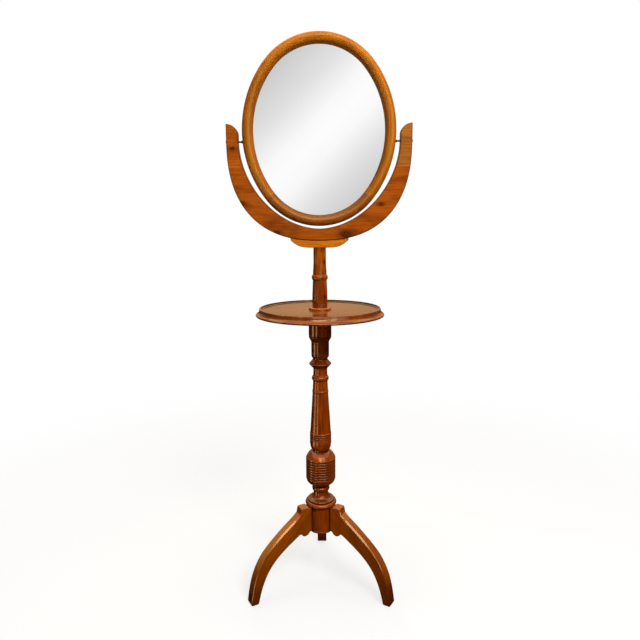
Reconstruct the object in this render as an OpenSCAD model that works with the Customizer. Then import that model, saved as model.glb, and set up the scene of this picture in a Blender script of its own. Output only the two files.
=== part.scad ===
// Victorian shaving stand: three sawn legs and a turned column carry a round dished tray,
// and above the tray a turned post carries a U-shaped yoke with a tilting oval mirror.
// The origin is on the floor, at the centre of the stand's overall box. +Z is up, and the
// mirror faces -Y at rest.

/* [Legs] */
// Thickness of the plank that a leg is sawn from
leg_t = 30; // [24:1:34]
// Distance from the column's axis to the outside of a toe
leg_reach = 237; // [215:1:260]
// Width of a leg where it meets the floor
toe_w = 24; // [18:1:30]
// Height of the floor-side end of the block above the floor
block_rise = 172; // [150:1:200]
// Height of the knee block's outer face above the leg's back
knee_step = 19; // [10:1:24]
// Distance from the block's flat to the outer face of the knee block
knee_l = 38; // [30:1:46]
// Height of the knee block over the leg's shoulder under the big ring
knee_lip = 4; // [1:0.5:6]
// Length of the notch between the block and the scroll
notch_l = 11; // [6:1:16]
// Radius of the scroll under the knee
scroll_r = 14; // [9:0.5:16]

/* [Leg dowels] */
// Diameter of the dowels between a leg and the block
dowel_d = 10; // [8:0.5:12]
// Length of a dowel
dowel_l = 56; // [44:1:60]
// Part of a dowel that sits in the block
dowel_in_block = 22; // [16:1:24]
// Height between the two dowels of a leg
dowel_pitch = 36; // [28:1:44]

/* [Column foot] */
// Diameter of the block that the legs join
block_d = 76; // [70:1:84]
// Height of the block
block_h = 83; // [78:1:95]
// Diameter of the big ring above the legs
foot_ring_d = 93; // [86:1:100]
// Height of the big ring
foot_ring_h = 12; // [9:1:20]
// Diameter of the small ring on the big one
step_ring_d = 79; // [72:1:84]
// Height of the small ring
step_ring_h = 6; // [4:0.5:9]
// Diameter of the bell's rim
bell_d = 66; // [56:1:72]
// Height of the bell
bell_h = 17; // [10:1:24]
// Diameter of the waist above the bell
waist_d = 44; // [38:1:50]
// Height of the waist
waist_h = 7; // [4:1:12]
// Diameter of the bead under the barrel
low_bead_d = 52; // [48:1:58]
// Height of the bead under the barrel
low_bead_h = 14; // [8:1:18]

/* [Barrel] */
// Diameter of the ribbed barrel
barrel_d = 87.6; // [80:0.2:96]
// Height of the ribbed wall
barrel_h = 68; // [50:1:90]
// Number of ribs round the wall
rib_n = 9; // [6:1:12]
// Depth of the grooves between the ribs
rib_depth = 1.6; // [0.8:0.1:2.4]
// Height of the round shoulder under the ribs
barrel_foot_h = 16; // [10:1:24]
// Height of the sloping shoulder over the ribs
barrel_cap_h = 20; // [12:1:26]
// Diameter of the neck under the barrel
lower_neck_d = 45; // [38:1:48]
// Height of the neck under the barrel
lower_neck_h = 7; // [4:1:12]
// Diameter of the neck over the barrel
upper_neck_d = 49; // [40:1:54]
// Height of the neck over the barrel
upper_neck_h = 4; // [2:1:10]

/* [Shaft] */
// Diameter of the shaft at its foot
shaft_foot_d = 63; // [56:1:70]
// Height of the round under edge of the shaft
shaft_round_h = 17; // [10:1:22]
// Height of the plain band at the foot of the shaft
shaft_band_h = 13; // [8:1:20]
// Number of fine reeds over the plain band
reed_n = 4; // [2:1:6]
// Height of one reed
reed_h = 5.5; // [4:0.5:8]
// Depth of the grooves between the reeds
reed_depth = 1; // [0.5:0.1:1.6]
// Length of the tapered part
shaft_l = 120; // [80:1:180]
// Diameter at the top of the tapered part
shaft_top_d = 45.6; // [40:0.2:50]
// Diameter of the line bead that ends the taper
line_bead_d = 47; // [44:0.5:54]
// Height of the line bead
line_bead_h = 8; // [5:1:12]
// Height of the short sleeve over the line bead
sleeve_h = 29; // [16:1:44]
// Diameter of the sleeve at its top
sleeve_d = 42; // [36:1:44]
// Diameter of the bead on the sleeve
collar_bead_d = 49; // [45:1:56]
// Height of that bead
collar_bead_h = 14; // [8:1:18]

/* [Column head] */
// Diameter of the neck under the sharp disc
disc_neck_d = 40; // [34:1:42]
// Height of that neck
disc_neck_h = 23; // [12:1:36]
// Diameter of the sharp disc
disc_d = 64; // [56:1:72]
// Height of the sharp disc
disc_h = 26; // [16:1:32]
// Diameter of the groove over the disc
disc_groove_d = 42.4; // [36:0.2:46]
// Height of the groove
disc_groove_h = 4; // [2:1:8]
// Diameter of the plain cylinder over the groove
vase_d = 51; // [46:1:56]
// Height of the plain cylinder
vase_h = 48; // [30:1:66]
// Diameter of the drum under the tray
drum_d = 65; // [58:1:76]
// Height of the cone under the drum
drum_cone_h = 12; // [8:1:18]
// Height of the drum
drum_h = 64; // [48:1:80]

/* [Tray] */
// Diameter of the tray
tray_d = 364; // [320:1:420]
// Thickness of the tray's floor
tray_t = 17; // [14:1:18]
// Height of the tray's rim
rim_h = 22; // [21:1:28]
// Width of the moulded rim
rim_w = 15.5; // [12:0.5:22]
// Width of the flat lip round the dish
lip_w = 5.5; // [3:0.5:8]
// Radius of the tray's thin round edge
rim_edge_r = 3; // [2:0.5:4]
// Height of the collar on the tray
collar_h = 6; // [4:1:12]
// Diameter of the collar on the tray
collar_d = 64; // [58:1:76]
// Diameter of the circle of the tray screws
tray_screw_circle = 44; // [40:1:46]

/* [Post] */
// Diameter of the post at its foot
post_foot_d = 43; // [38:1:50]
// Height of the plain foot of the post
post_foot_h = 28; // [18:1:40]
// Height of the taper under the post's bead
post_low_taper_h = 49; // [30:1:70]
// Diameter under and over the post's bead
post_neck_d = 39; // [34:1:41]
// Diameter of the post's bead
post_bead_d = 45; // [42:1:52]
// Height of the post's bead
post_bead_h = 15; // [10:1:20]
// Height of the taper over the bead
post_taper_h = 33; // [20:1:50]
// Diameter of the post's upper part
post_d = 35; // [30:1:37]
// Height of the post's upper part
post_top_h = 43; // [30:1:70]
// Diameter of the pin under the post
post_pin_d = 25; // [20:1:28]
// Depth of the pin's socket in the column
socket_depth = 30; // [20:1:36]
// Diameter of the tenon on top of the post
tenon_d = 18; // [14:1:20]
// Depth of the tenon's mortise in the yoke board
mortise_depth = 14; // [8:1:18]

/* [Yoke] */
// Thickness of the yoke's board
yoke_t = 25; // [20:1:30]
// Width of an arm at the pivots
arm_w = 32; // [28:1:40]
// Height of the yoke's board in the middle, over the cleat
yoke_floor = 33; // [26:1:40]
// Height of an arm's tip over the pivots
arm_tip = 46; // [40:1:60]
// Height of the round end of an arm
arm_round = 28; // [18:1:32]
// Distance of the glued joints under the pivots
glue_line = 67; // [50:1:90]
// Width of the cleat
cleat_w = 160; // [130:1:190]
// Height of the cleat in the middle
cleat_h = 19; // [16:1:28]
// Height of the cleat's ends
cleat_end = 5; // [3:1:12]
// Thickness of the cleat
cleat_t = 38; // [36:1:44]
// Distance between the cleat's two screws
cleat_screw_pitch = 96; // [70:1:120]
// Depth of the cleat screws' heads in the wood
cleat_screw_sink = 1; // [0.5:0.5:3]

/* [Mirror frame] */
// Width of the oval frame
frame_w = 416; // [370:1:450]
// Height of the oval frame
frame_h = 504; // [460:1:540]
// How much less the radius of the frame's top and bottom arcs is than half its width
frame_end_less = 23; // [14:1:32]
// Width of the moulding
mould_w = 30; // [26:1:36]
// Depth of the moulding from front to back
mould_t = 24; // [22:1:30]
// Height of the moulding's flat outer side
mould_side = 15; // [13:1:18]
// Width of the bevel at the glass
bevel_w = 6; // [3:1:9]
// Width of the rebate behind the bevel
rebate_w = 7; // [5:1:9]
// Depth of the rebate from the back
rebate_depth = 10; // [9:0.5:12]
// Distance of the pivots under the middle of the frame
pivot_drop = 26; // [10:1:40]
// Free distance between the frame's side and the arm, at the widest place
side_gap = 11; // [9:1:16]
// Free distance under the frame
under_gap = 7; // [5:1:14]
// Thickness of the mirror glass
glass_t = 4; // [3:0.5:5]
// Thickness of the back board
back_t = 3.6; // [3:0.2:4]
// Free distance round the glass and the back board
glass_play = 1; // [0.5:0.1:1.6]
// Diameter of the sprigs that hold the back board
sprig_d = 1.6; // [1.2:0.1:2]
// Length of a sprig
sprig_l = 12; // [8:1:14]

/* [Pivots] */
// Diameter of the pivot screws
pivot_d = 4.6; // [4:0.2:6]
// Diameter of a pivot screw's head
pivot_head_d = 10; // [8:0.5:13]
// Height of a pivot screw's head
pivot_head_h = 2.6; // [2:0.2:4]
// Depth of a pivot screw's end in its bush
pivot_reach = 14; // [10:1:16]
// Outer diameter of a bush
bush_d = 8; // [7.4:0.2:10]
// Length of a bush in the frame
bush_l = 18; // [15:1:20]
// Diameter of a bush's flared lip
bush_lip_d = 12.5; // [11:0.5:14]
// Height of the flared lip
bush_lip_h = 5; // [3:0.5:6]

/* [Screws and fits] */
// Diameter of the wood screws
screw_d = 4.2; // [3.4:0.2:5]
// Diameter of a wood screw's countersunk head
screw_head_d = 8.4; // [7:0.2:10]
// Length of the tray screws
tray_screw_l = 38; // [28:1:44]
// Length of the cleat screws
cleat_screw_l = 34; // [28:1:38]
// Clearance round dowels, tenons and other glued pins
glue_gap = 0.1; // [0.05:0.05:0.2]
// Clearance round screws and sprigs
screw_gap = 0.05; // [0.02:0.01:0.1]
// Clearance round pins that turn
turn_gap = 0.08; // [0.03:0.01:0.1]
// Distance between the turning post and the collar
swivel_gap = 0.2; // [0.1:0.05:0.4]

/* [Hidden] */
$fn = 96;

// Wood colours, and black iron
PINE = "#C06E1F";
DARK_PINE = "#8A3F14";
LEG_PINE = "#9C5A22";
IRON = "#1E1B19";
MIRROR = "#D8DCDE";
BACK = "#9A7B55";

// The overall box runs from the front of the tray to the toe of the rear leg. Its middle is
// the origin, so the column's axis stands this far from it.
axis_y = (tray_d / 2 - leg_reach) / 2;

// Heights on the column, from the floor up
block_top = block_rise + block_h;
foot_ring_top = block_top + foot_ring_h;
bell_z = foot_ring_top + step_ring_h;
waist_z = bell_z + bell_h;
low_bead_z = waist_z + waist_h;
lower_neck_z = low_bead_z + low_bead_h;
barrel_foot_z = lower_neck_z + lower_neck_h;
barrel_z = barrel_foot_z + barrel_foot_h;
barrel_top = barrel_z + barrel_h;
upper_neck_z = barrel_top + barrel_cap_h;
shaft_round_z = upper_neck_z + upper_neck_h;
shaft_band_z = shaft_round_z + shaft_round_h;
reed_z = shaft_band_z + shaft_band_h;
shaft_z = reed_z + reed_n * reed_h;
line_bead_z = shaft_z + shaft_l;
sleeve_z = line_bead_z + line_bead_h;
collar_bead_z = sleeve_z + sleeve_h;
disc_neck_z = collar_bead_z + collar_bead_h;
disc_z = disc_neck_z + disc_neck_h;
disc_groove_z = disc_z + disc_h;
vase_z = disc_groove_z + disc_groove_h;
drum_cone_z = vase_z + vase_h;
drum_z = drum_cone_z + drum_cone_h;
tray_z = drum_z + drum_h;

// Heights on the tray and the post
tray_floor_z = tray_z + tray_t;
collar_top = tray_floor_z + collar_h;
post_z = collar_top + swivel_gap;
post_low_taper_z = post_z + post_foot_h;
post_bead_z = post_low_taper_z + post_low_taper_h;
post_taper_z = post_bead_z + post_bead_h;
post_plain_z = post_taper_z + post_taper_h;
post_top = post_plain_z + post_top_h;

// The legs' curves, in the leg's own plane: distance from the axis, and height. A leg's
// shoulder fits under the big ring, and its knee block stands up just outside the ring.
flat_r = sqrt(pow(block_d / 2, 2) - pow(leg_t / 2, 2));
ring_clear = 2;
shoulder_z = block_top - ring_clear;
knee_top = shoulder_z + knee_lip;
knee_in_r = foot_ring_d / 2 + ring_clear;
knee_r = flat_r + knee_l;
knee_round = 4;
knee_batter = 3;
back_r = knee_r + knee_batter;
back_z = knee_top - knee_step;
notch_h = 10;
scroll_z = block_rise + notch_h;
scroll_c = [flat_r + notch_l + scroll_r, scroll_z];
scroll_cut = 5;
belly_r = scroll_c[0] + scroll_r + scroll_cut;
belly_z = scroll_z - scroll_cut;
toe_round = 5;
toe_in_r = leg_reach - toe_w;
curve_n = 20;
leg_angles = [210, 330, 90];

// The back's and the belly's curves run from the knee to the toe. A pull is the place of a
// curve's handle: the first number is its share of the way out, the second of the way up.
back_knee_pull = [0.78, 0.63];
back_toe_pull = [0.92, 0.45];
belly_knee_pull = [0.55, 0.73];
belly_toe_pull = [0.83, 0.6];

// The dowels stand over and under the middle of the leg's end
dowel_mid_z = (scroll_z + shoulder_z) / 2;

// The yoke's and the frame's places. The pivots' line is the yoke's reference.
mid_r = frame_w / 2;
frame_end_r = mid_r - frame_end_less;
pivot_inner = mid_r + side_gap;
pivot_outer = pivot_inner + arm_w;
yoke_inner_drop = frame_h / 2 - pivot_drop + under_gap;
yoke_outer_drop = yoke_inner_drop + yoke_floor;
pivot_z = post_top + cleat_h + yoke_outer_drop;
cleat_base = -yoke_outer_drop - cleat_h;
cleat_seat = post_d / 2 + 3;
drop_n = 64;

// Powers of the yoke's curves: 2 is an ellipse, and more is fuller at the corners
inner_power = 1.87;
outer_power = 2.42;

// How late the cleat's lower face turns up towards its ends
cleat_power = 3;

// The frame's section stands so that the pivots' line runs through the middle of its side
mould_front = mould_t - mould_side / 2;
mould_back = -mould_side / 2;
rebate_z = mould_back + rebate_depth;
glass_front = rebate_z;
back_front = rebate_z - glass_t;
back_face = back_front - back_t;

// The oval is drawn with four arcs. The side arcs' centres follow from the end arcs.
end_c = frame_h / 2 - frame_end_r;
side_c = (end_c * end_c - frame_end_less * frame_end_less) / (2 * frame_end_less);
side_r = mid_r + side_c;
arc_turn = atan2(end_c, side_c);

// The bushes stand on a flat spot that is cut in the frame's curved side
spot_depth = 0.8;
side_at_pivot = sqrt(side_r * side_r - pivot_drop * pivot_drop) - side_c;
spot_x = side_at_pivot - spot_depth - (bush_lip_d / 2 + pivot_drop) * bush_lip_d / 2 / side_r;

screw_head_h = (screw_head_d - screw_d) / 2;
tray_screw_n = 3;
eps = 1;

// Curves of a turned outline, each a list of [radius, height] from the bottom up
arc_n = 8;

function bead(z, h, r, bulge) = [
    for (i = [0 : arc_n * 2])
        let (a = 180 * i / (arc_n * 2)) [r + bulge * sin(a), z + h * (1 - cos(a)) / 2]
];

// Grows quickly and then stands up, as the underside of a bowl
function bowl(z, h, r0, r1) = [
    for (i = [0 : arc_n])
        let (a = 90 * i / arc_n) [r0 + (r1 - r0) * sin(a), z + h * (1 - cos(a))]
];

// Stands up first and then closes over, as the top of a ball
function dome(z, h, r0, r1) = [
    for (i = [0 : arc_n])
        let (a = 90 * i / arc_n) [r1 + (r0 - r1) * cos(a), z + h * sin(a)]
];

// Half way between a dome and a cone
function shoulder(z, h, r0, r1) = [
    for (i = [0 : arc_n])
        let (a = 90 * i / arc_n) [r1 + (r0 - r1) * (1 + cos(a) - sin(a)) / 2, z + h * sin(a)]
];

// Shrinks quickly and then stands up, as the outside of a bell
function flare(z, h, r0, r1) = [
    for (i = [0 : arc_n])
        let (a = 90 * i / arc_n) [r1 + (r0 - r1) * (1 - sin(a)), z + h * (1 - cos(a))]
];

// A fine V-shaped line, cut a depth into the radius r
function line_cut(z, r, depth) = [[r, z], [r - depth, z + depth], [r, z + 2 * depth]];

// A row of n equal beads that fill the height h
function beads(z, h, n, r, bulge) = [
    for (k = [0 : n - 1]) each bead(z + h * k / n, h / n, r, bulge)
];

// A point of a cubic curve with the ends p0 and p3 and the handles p1 and p2
function curve(p0, p1, p2, p3, t) =
    pow(1 - t, 3) * p0 + 3 * pow(1 - t, 2) * t * p1 + 3 * (1 - t) * t * t * p2 + pow(t, 3) * p3;

function arc(c, r, a0, a1, n) = [
    for (i = [0 : n]) let (a = a0 + (a1 - a0) * i / n) c + r * [cos(a), sin(a)]
];

function flip(list) = [for (i = [len(list) - 1 : -1 : 0]) list[i]];

// Puts a piece on the column's axis
module on_axis() {
    translate([0, axis_y, 0]) children();
}

// Puts a piece on the pivots' line, seen from the front: X to the right, Y up
module on_yoke() {
    translate([0, axis_y, pivot_z]) rotate([90, 0, 0]) children();
}

module turned(outline) {
    rotate_extrude() polygon(outline);
}

// ---------------------------------------------------------------- base

module column_blank() {
    block_r = block_d / 2;
    block_edge = 3;
    ring_edge = 3;
    disc_edge = 1.5;
    disc_edge_h = 4;
    vase_round_h = 10;
    drum_edge = 1;
    drum_line = 1.2;
    turned(concat(
        [[0, block_rise], [block_r - block_edge, block_rise]],
        bowl(block_rise, block_edge, block_r - block_edge, block_r),
        bowl(block_top, ring_edge, block_r, foot_ring_d / 2),
        dome(block_top + ring_edge, foot_ring_h - ring_edge, foot_ring_d / 2, step_ring_d / 2),
        bead(foot_ring_top, step_ring_h, (bell_d + step_ring_d) / 4, (step_ring_d - bell_d) / 4),
        flare(bell_z, bell_h, bell_d / 2, waist_d / 2),
        bead(low_bead_z, low_bead_h, waist_d / 2, (low_bead_d - waist_d) / 2),
        [[lower_neck_d / 2, lower_neck_z]],
        bowl(barrel_foot_z, barrel_foot_h, lower_neck_d / 2, barrel_d / 2 - rib_depth),
        beads(barrel_z, barrel_h, rib_n, barrel_d / 2 - rib_depth, rib_depth),
        shoulder(barrel_top, barrel_cap_h, barrel_d / 2 - rib_depth, upper_neck_d / 2),
        bowl(shaft_round_z, shaft_round_h, upper_neck_d / 2, shaft_foot_d / 2 - reed_depth),
        [[shaft_foot_d / 2, shaft_band_z + reed_depth], [shaft_foot_d / 2, reed_z]],
        beads(reed_z, reed_n * reed_h, reed_n, shaft_foot_d / 2 - reed_depth, reed_depth),
        [[shaft_top_d / 2, line_bead_z]],
        bead(line_bead_z, line_bead_h, shaft_top_d / 2 - reed_depth / 2,
            (line_bead_d - shaft_top_d + reed_depth) / 2),
        [[sleeve_d / 2, collar_bead_z]],
        bead(collar_bead_z, collar_bead_h, sleeve_d / 2, (collar_bead_d - sleeve_d) / 2),
        [[disc_neck_d / 2, disc_neck_z + disc_neck_h / 2], [disc_neck_d / 2, disc_z]],
        bead(disc_z + (disc_h - disc_edge_h) / 2, disc_edge_h, disc_d / 2 - disc_edge, disc_edge),
        [[disc_groove_d / 2, disc_groove_z]],
        bowl(vase_z, vase_round_h, disc_groove_d / 2, vase_d / 2),
        [[vase_d / 2, drum_cone_z], [drum_d / 2 - drum_edge, drum_z - drum_edge]],
        [[drum_d / 2, drum_z + drum_edge]],
        line_cut(drum_z + 3 * drum_edge, drum_d / 2, drum_line),
        [[drum_d / 2, tray_z], [0, tray_z]]
    ));
}

module dowel_pair(r, gap) {
    for (k = [-1, 1])
        translate([flat_r - dowel_in_block - gap, 0, dowel_mid_z + k * dowel_pitch / 2])
            rotate([0, 90, 0]) cylinder(r = r, h = dowel_l + 2 * gap);
}

module tray_screw_places() {
    for (k = [0 : tray_screw_n - 1])
        rotate([0, 0, 360 * k / tray_screw_n + 90])
            translate([tray_screw_circle / 2, 0, tray_floor_z]) children();
}

// A countersunk wood screw whose head lies flush with z = 0 and whose shank runs down
module wood_screw(l, gap) {
    rotate_extrude() polygon([
        [0, 0], [screw_head_d / 2 + gap, 0], [screw_d / 2 + gap, -screw_head_h],
        [screw_d / 2 + gap, -l - gap], [0, -l - gap]
    ]);
}

module column() color(DARK_PINE) on_axis() difference() {
    column_blank();
    for (a = leg_angles)
        rotate([0, 0, a]) {
            translate([flat_r, -leg_t / 2, block_rise - eps])
                cube([block_d, leg_t, block_h - ring_clear + eps]);
            dowel_pair(dowel_d / 2 + glue_gap, glue_gap);
        }
    translate([0, 0, tray_z - socket_depth - eps])
        cylinder(d = post_pin_d + 2 * turn_gap, h = socket_depth + 2 * eps);
    tray_screw_places() wood_screw(tray_screw_l, screw_gap);
}

// A long curve of a leg, from its start at the knee to its end at the toe
function leg_curve(knee, toe, knee_pull, toe_pull) = [
    for (i = [0 : curve_n]) curve(
        knee,
        [knee[0] + (toe[0] - knee[0]) * knee_pull[0], knee[1] * knee_pull[1]],
        [knee[0] + (toe[0] - knee[0]) * toe_pull[0], knee[1] * toe_pull[1]],
        toe, i / curve_n)
];

function leg_outline() = concat(
    [[flat_r, shoulder_z], [knee_in_r, shoulder_z], [knee_in_r, knee_top]],
    arc([knee_r - knee_round, knee_top - knee_round], knee_round, 90, 15, 4),
    leg_curve([back_r, back_z], [leg_reach, toe_round], back_knee_pull, back_toe_pull),
    arc([leg_reach - toe_round, toe_round], toe_round, 0, -90, 4),
    arc([toe_in_r + toe_round, toe_round], toe_round, -90, -180, 4),
    flip(leg_curve([belly_r, belly_z], [toe_in_r, toe_round], belly_knee_pull, belly_toe_pull)),
    arc(scroll_c, scroll_r, -20, -160, 10),
    [[flat_r, scroll_z]]
);

module leg(angle) {
    on_axis() rotate([0, 0, angle]) difference() {
        rotate([90, 0, 0]) linear_extrude(height = leg_t, center = true) polygon(leg_outline());
        dowel_pair(dowel_d / 2 + glue_gap, glue_gap);
    }
}

module leg_front_left() color(LEG_PINE) leg(leg_angles[0]);

module leg_front_right() color(LEG_PINE) leg(leg_angles[1]);

module leg_rear() color(LEG_PINE) leg(leg_angles[2]);

module leg_dowels() color(PINE) on_axis()
    for (a = leg_angles) rotate([0, 0, a]) dowel_pair(dowel_d / 2, 0);

// ---------------------------------------------------------------- tray

// A shallow dished disc. Outside its lip is a hollow that runs down to a thin round edge.
module tray() color(PINE) on_axis() difference() {
    r = tray_d / 2;
    rim_top = tray_z + rim_h;
    lip_r = r - rim_w + lip_w;
    dish_r = 0.6 * (rim_h - tray_t);
    edge_top = tray_z + 2 * rim_edge_r;
    hollow_h = rim_top - rim_edge_r - edge_top;
    turned(concat(
        [[0, tray_z]],
        arc([r - rim_edge_r, tray_z + rim_edge_r], rim_edge_r, -90, 60, 6),
        flare(edge_top, hollow_h, r - rim_edge_r / 2, lip_r),
        [[lip_r, rim_top], [r - rim_w, rim_top]],
        arc([r - rim_w - dish_r, tray_floor_z + dish_r], dish_r, 0, -90, 5),
        [[0, tray_floor_z]]
    ));
    translate([0, 0, tray_z - eps])
        cylinder(d = post_pin_d + 2 * turn_gap, h = tray_t + 2 * eps);
    tray_screw_places() wood_screw(tray_screw_l, screw_gap);
}

module tray_screws() color(IRON) on_axis()
    tray_screw_places() wood_screw(tray_screw_l, 0);

module tray_collar() color(DARK_PINE) on_axis() difference() {
    collar_round = 3;
    turned(concat(
        [[0, tray_floor_z], [collar_d / 2, tray_floor_z]],
        arc([collar_d / 2 - collar_round, collar_top - collar_round], collar_round, 0, 90, 5),
        [[0, collar_top]]
    ));
    translate([0, 0, tray_floor_z - eps])
        cylinder(d = post_pin_d + 2 * turn_gap, h = collar_h + 2 * eps);
}

// ---------------------------------------------------------------- post and yoke

// The turned post, with its pin below and its tenon above
module post() color(DARK_PINE) on_axis() {
    pin_r = post_pin_d / 2;
    foot_r = post_foot_d / 2;
    neck_r = post_neck_d / 2;
    pin_z = tray_z - socket_depth;
    tenon_top = post_top + cleat_h + mortise_depth;
    edge = 1;
    line = 1;
    line_from_end = 9;
    turned(concat(
        [[0, pin_z], [pin_r - edge, pin_z], [pin_r, pin_z + edge], [pin_r, post_z]],
        [[foot_r - edge, post_z], [foot_r, post_z + edge]],
        line_cut(post_z + line_from_end, foot_r, line),
        [[foot_r, post_low_taper_z], [neck_r, post_bead_z]],
        bead(post_bead_z, post_bead_h, neck_r, (post_bead_d - post_neck_d) / 2),
        [[post_d / 2, post_plain_z]],
        line_cut(post_top - line_from_end, post_d / 2, line),
        [[post_d / 2, post_top], [tenon_d / 2, post_top]],
        [[tenon_d / 2, tenon_top], [0, tenon_top]]
    ));
}

// Half of a stretched circle below the pivots' line: half width a, drop b
function drop_curve(a, b, power) = [
    for (i = [0 : drop_n])
        let (t = 180 * i / drop_n)
            [-sign(cos(t)) * a * pow(abs(cos(t)), 2 / power), -b * pow(sin(t), 2 / power)]
];

// The end of an arm, from its tip to its inner edge; side is -1 on the left, 1 on the right
function arm_end(side) = [
    for (i = [0 : arc_n])
        let (a = 90 * (1 - i / arc_n))
            [side * (pivot_outer - arm_w * cos(a)), arm_tip - arm_round * (1 - sin(a))]
];

outer_drop_line = drop_curve(pivot_outer, yoke_outer_drop, outer_power);
inner_drop_line = drop_curve(pivot_inner, yoke_inner_drop, inner_power);

module yoke_blank() {
    linear_extrude(height = yoke_t, center = true)
        polygon(concat(arm_end(1), flip(inner_drop_line), flip(arm_end(-1)), outer_drop_line));
}

// A hole along X for a pivot screw, through both arms
module pivot_hole() {
    rotate([0, 90, 0])
        cylinder(d = pivot_d + 2 * screw_gap, h = 2 * pivot_outer + 2 * eps, center = true);
}

module yoke_slab(x0, x1, y0, y1) {
    translate([x0, y0, -cleat_t]) cube([x1 - x0, y1 - y0, 2 * cleat_t]);
}

// The post's tenon hole, in the yoke's frame
module tenon_hole() {
    translate([0, cleat_base, 0]) rotate([-90, 0, 0])
        translate([0, 0, -eps])
            cylinder(d = tenon_d + 2 * glue_gap, h = cleat_h + mortise_depth + glue_gap + eps);
}

// Height of the cleat's lower face at a distance x from its middle, in the yoke's frame. It
// is flat over the post, and then rises to the cleat's ends.
function cleat_low(x) =
    let (run = max(0, abs(x) - cleat_seat) / (cleat_w / 2 - cleat_seat))
    cleat_base + (yoke_low(cleat_w / 2) - cleat_end - cleat_base) * pow(run, cleat_power);

// Height of the yoke's lower edge at a distance x from its middle, in the yoke's frame
function yoke_low(x) =
    -yoke_outer_drop * pow(1 - pow(abs(x) / pivot_outer, outer_power), 1 / outer_power);

module cleat_screw_places() {
    for (k = [-1, 1])
        translate([k * cleat_screw_pitch / 2, cleat_low(cleat_screw_pitch / 2), 0])
            rotate([90, 0, 0]) children();
}

// A screw that enters the cleat from below, with its head a little in the wood
module cleat_screw(gap) {
    translate([0, 0, -cleat_screw_sink]) wood_screw(cleat_screw_l, gap);
}

module yoke_board() color(PINE) on_yoke() difference() {
    intersection() {
        yoke_blank();
        yoke_slab(-pivot_outer - eps, pivot_outer + eps, -yoke_outer_drop - eps, -glue_line);
    }
    tenon_hole();
    cleat_screw_places() cleat_screw(screw_gap);
}

module yoke_horn(x0, x1) {
    on_yoke() difference() {
        intersection() {
            yoke_blank();
            yoke_slab(x0, x1, -glue_line, arm_tip + eps);
        }
        pivot_hole();
    }
}

module yoke_horn_left() color(PINE) yoke_horn(-pivot_outer - eps, 0);

module yoke_horn_right() color(PINE) yoke_horn(0, pivot_outer + eps);

module yoke_cleat() color("#D08A3A") on_yoke() difference() {
    half = cleat_w / 2;
    low_n = 12;
    linear_extrude(height = cleat_t, center = true) polygon(concat(
        [[half, -yoke_inner_drop], [-half, -yoke_inner_drop]],
        [for (i = [0 : low_n]) let (x = -half + (half - cleat_seat) * i / low_n)
            [x, cleat_low(x)]],
        [for (i = [0 : low_n]) let (x = cleat_seat + (half - cleat_seat) * i / low_n)
            [x, cleat_low(x)]]
    ));
    linear_extrude(height = 2 * cleat_t, center = true) polygon(outer_drop_line);
    tenon_hole();
    cleat_screw_places() {
        cleat_screw(screw_gap);
        translate([0, 0, -cleat_screw_sink])
            cylinder(d = screw_head_d + 2 * screw_gap, h = cleat_h);
    }
}

module cleat_screws() color(IRON) on_yoke() cleat_screw_places() cleat_screw(0);

// ---------------------------------------------------------------- pivots

// A round-headed screw along X, in the yoke's frame, for the right-hand pivot
module pivot_screw() {
    tip_x = spot_x - pivot_reach;
    rotate([0, 90, 0]) rotate_extrude() polygon(concat(
        [[0, tip_x], [pivot_d / 2 - 1, tip_x], [pivot_d / 2, tip_x + 1]],
        [[pivot_d / 2, pivot_outer], [pivot_head_d / 2, pivot_outer]],
        [for (i = [1 : arc_n]) let (a = 90 * i / arc_n)
            [pivot_head_d / 2 * cos(a), pivot_outer + pivot_head_h * sin(a)]]
    ));
}

// A bush with a flared lip, in the yoke's frame, for the right-hand pivot
module pivot_bush() {
    lip_n = 6;
    neck_r = bush_d / 2 - 0.6;
    rotate([0, 90, 0]) rotate_extrude() polygon(concat(
        [[pivot_d / 2 + turn_gap, spot_x - bush_l], [bush_d / 2, spot_x - bush_l]],
        [[bush_d / 2, spot_x], [bush_lip_d / 2, spot_x], [bush_lip_d / 2, spot_x + 1]],
        [for (i = [1 : lip_n]) let (a = 90 * i / lip_n)
            [neck_r + (bush_lip_d / 2 - neck_r) * (1 - sin(a)),
                spot_x + 1 + (bush_lip_h - 1) * (1 - cos(a))]],
        [[pivot_d / 2 + turn_gap, spot_x + bush_lip_h]]
    ));
}

module pivot_screw_left() color(IRON) on_yoke() mirror([1, 0, 0]) pivot_screw();

module pivot_screw_right() color(IRON) on_yoke() pivot_screw();

module pivot_bush_left() color(IRON) on_yoke() mirror([1, 0, 0]) pivot_bush();

module pivot_bush_right() color(IRON) on_yoke() pivot_bush();

// ---------------------------------------------------------------- mirror

// The moulding's section: first number is the distance in from the outer edge, second is
// the distance in front of the pivots' line
function mould_section() = concat(
    [[0, mould_back], [0, -mould_back]],
    [for (i = [1 : arc_n]) let (a = 90 * i / arc_n)
        [mould_w * 0.42 * (1 - cos(a)), -mould_back + (mould_front + mould_back) * sin(a)]],
    [for (i = [1 : arc_n]) let (a = 90 * i / arc_n)
        [mould_w * 0.42 + (mould_w * 0.58 - bevel_w) * sin(a),
            mould_front - (mould_front + mould_back) * 0.5 * (1 - cos(a))]],
    [[mould_w, rebate_z + 2], [mould_w, rebate_z]],
    [[mould_w - rebate_w, rebate_z], [mould_w - rebate_w, mould_back]]
);

// A piece of the frame round one arc's centre, from a0 to a1
module frame_arc(centre, r, a0, a1) {
    translate([centre[0], pivot_drop + centre[1], 0]) rotate([0, 0, a0])
        rotate_extrude(angle = a1 - a0, $fn = 192)
            polygon([for (p = mould_section()) [r - p[0], p[1]]]);
}

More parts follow.
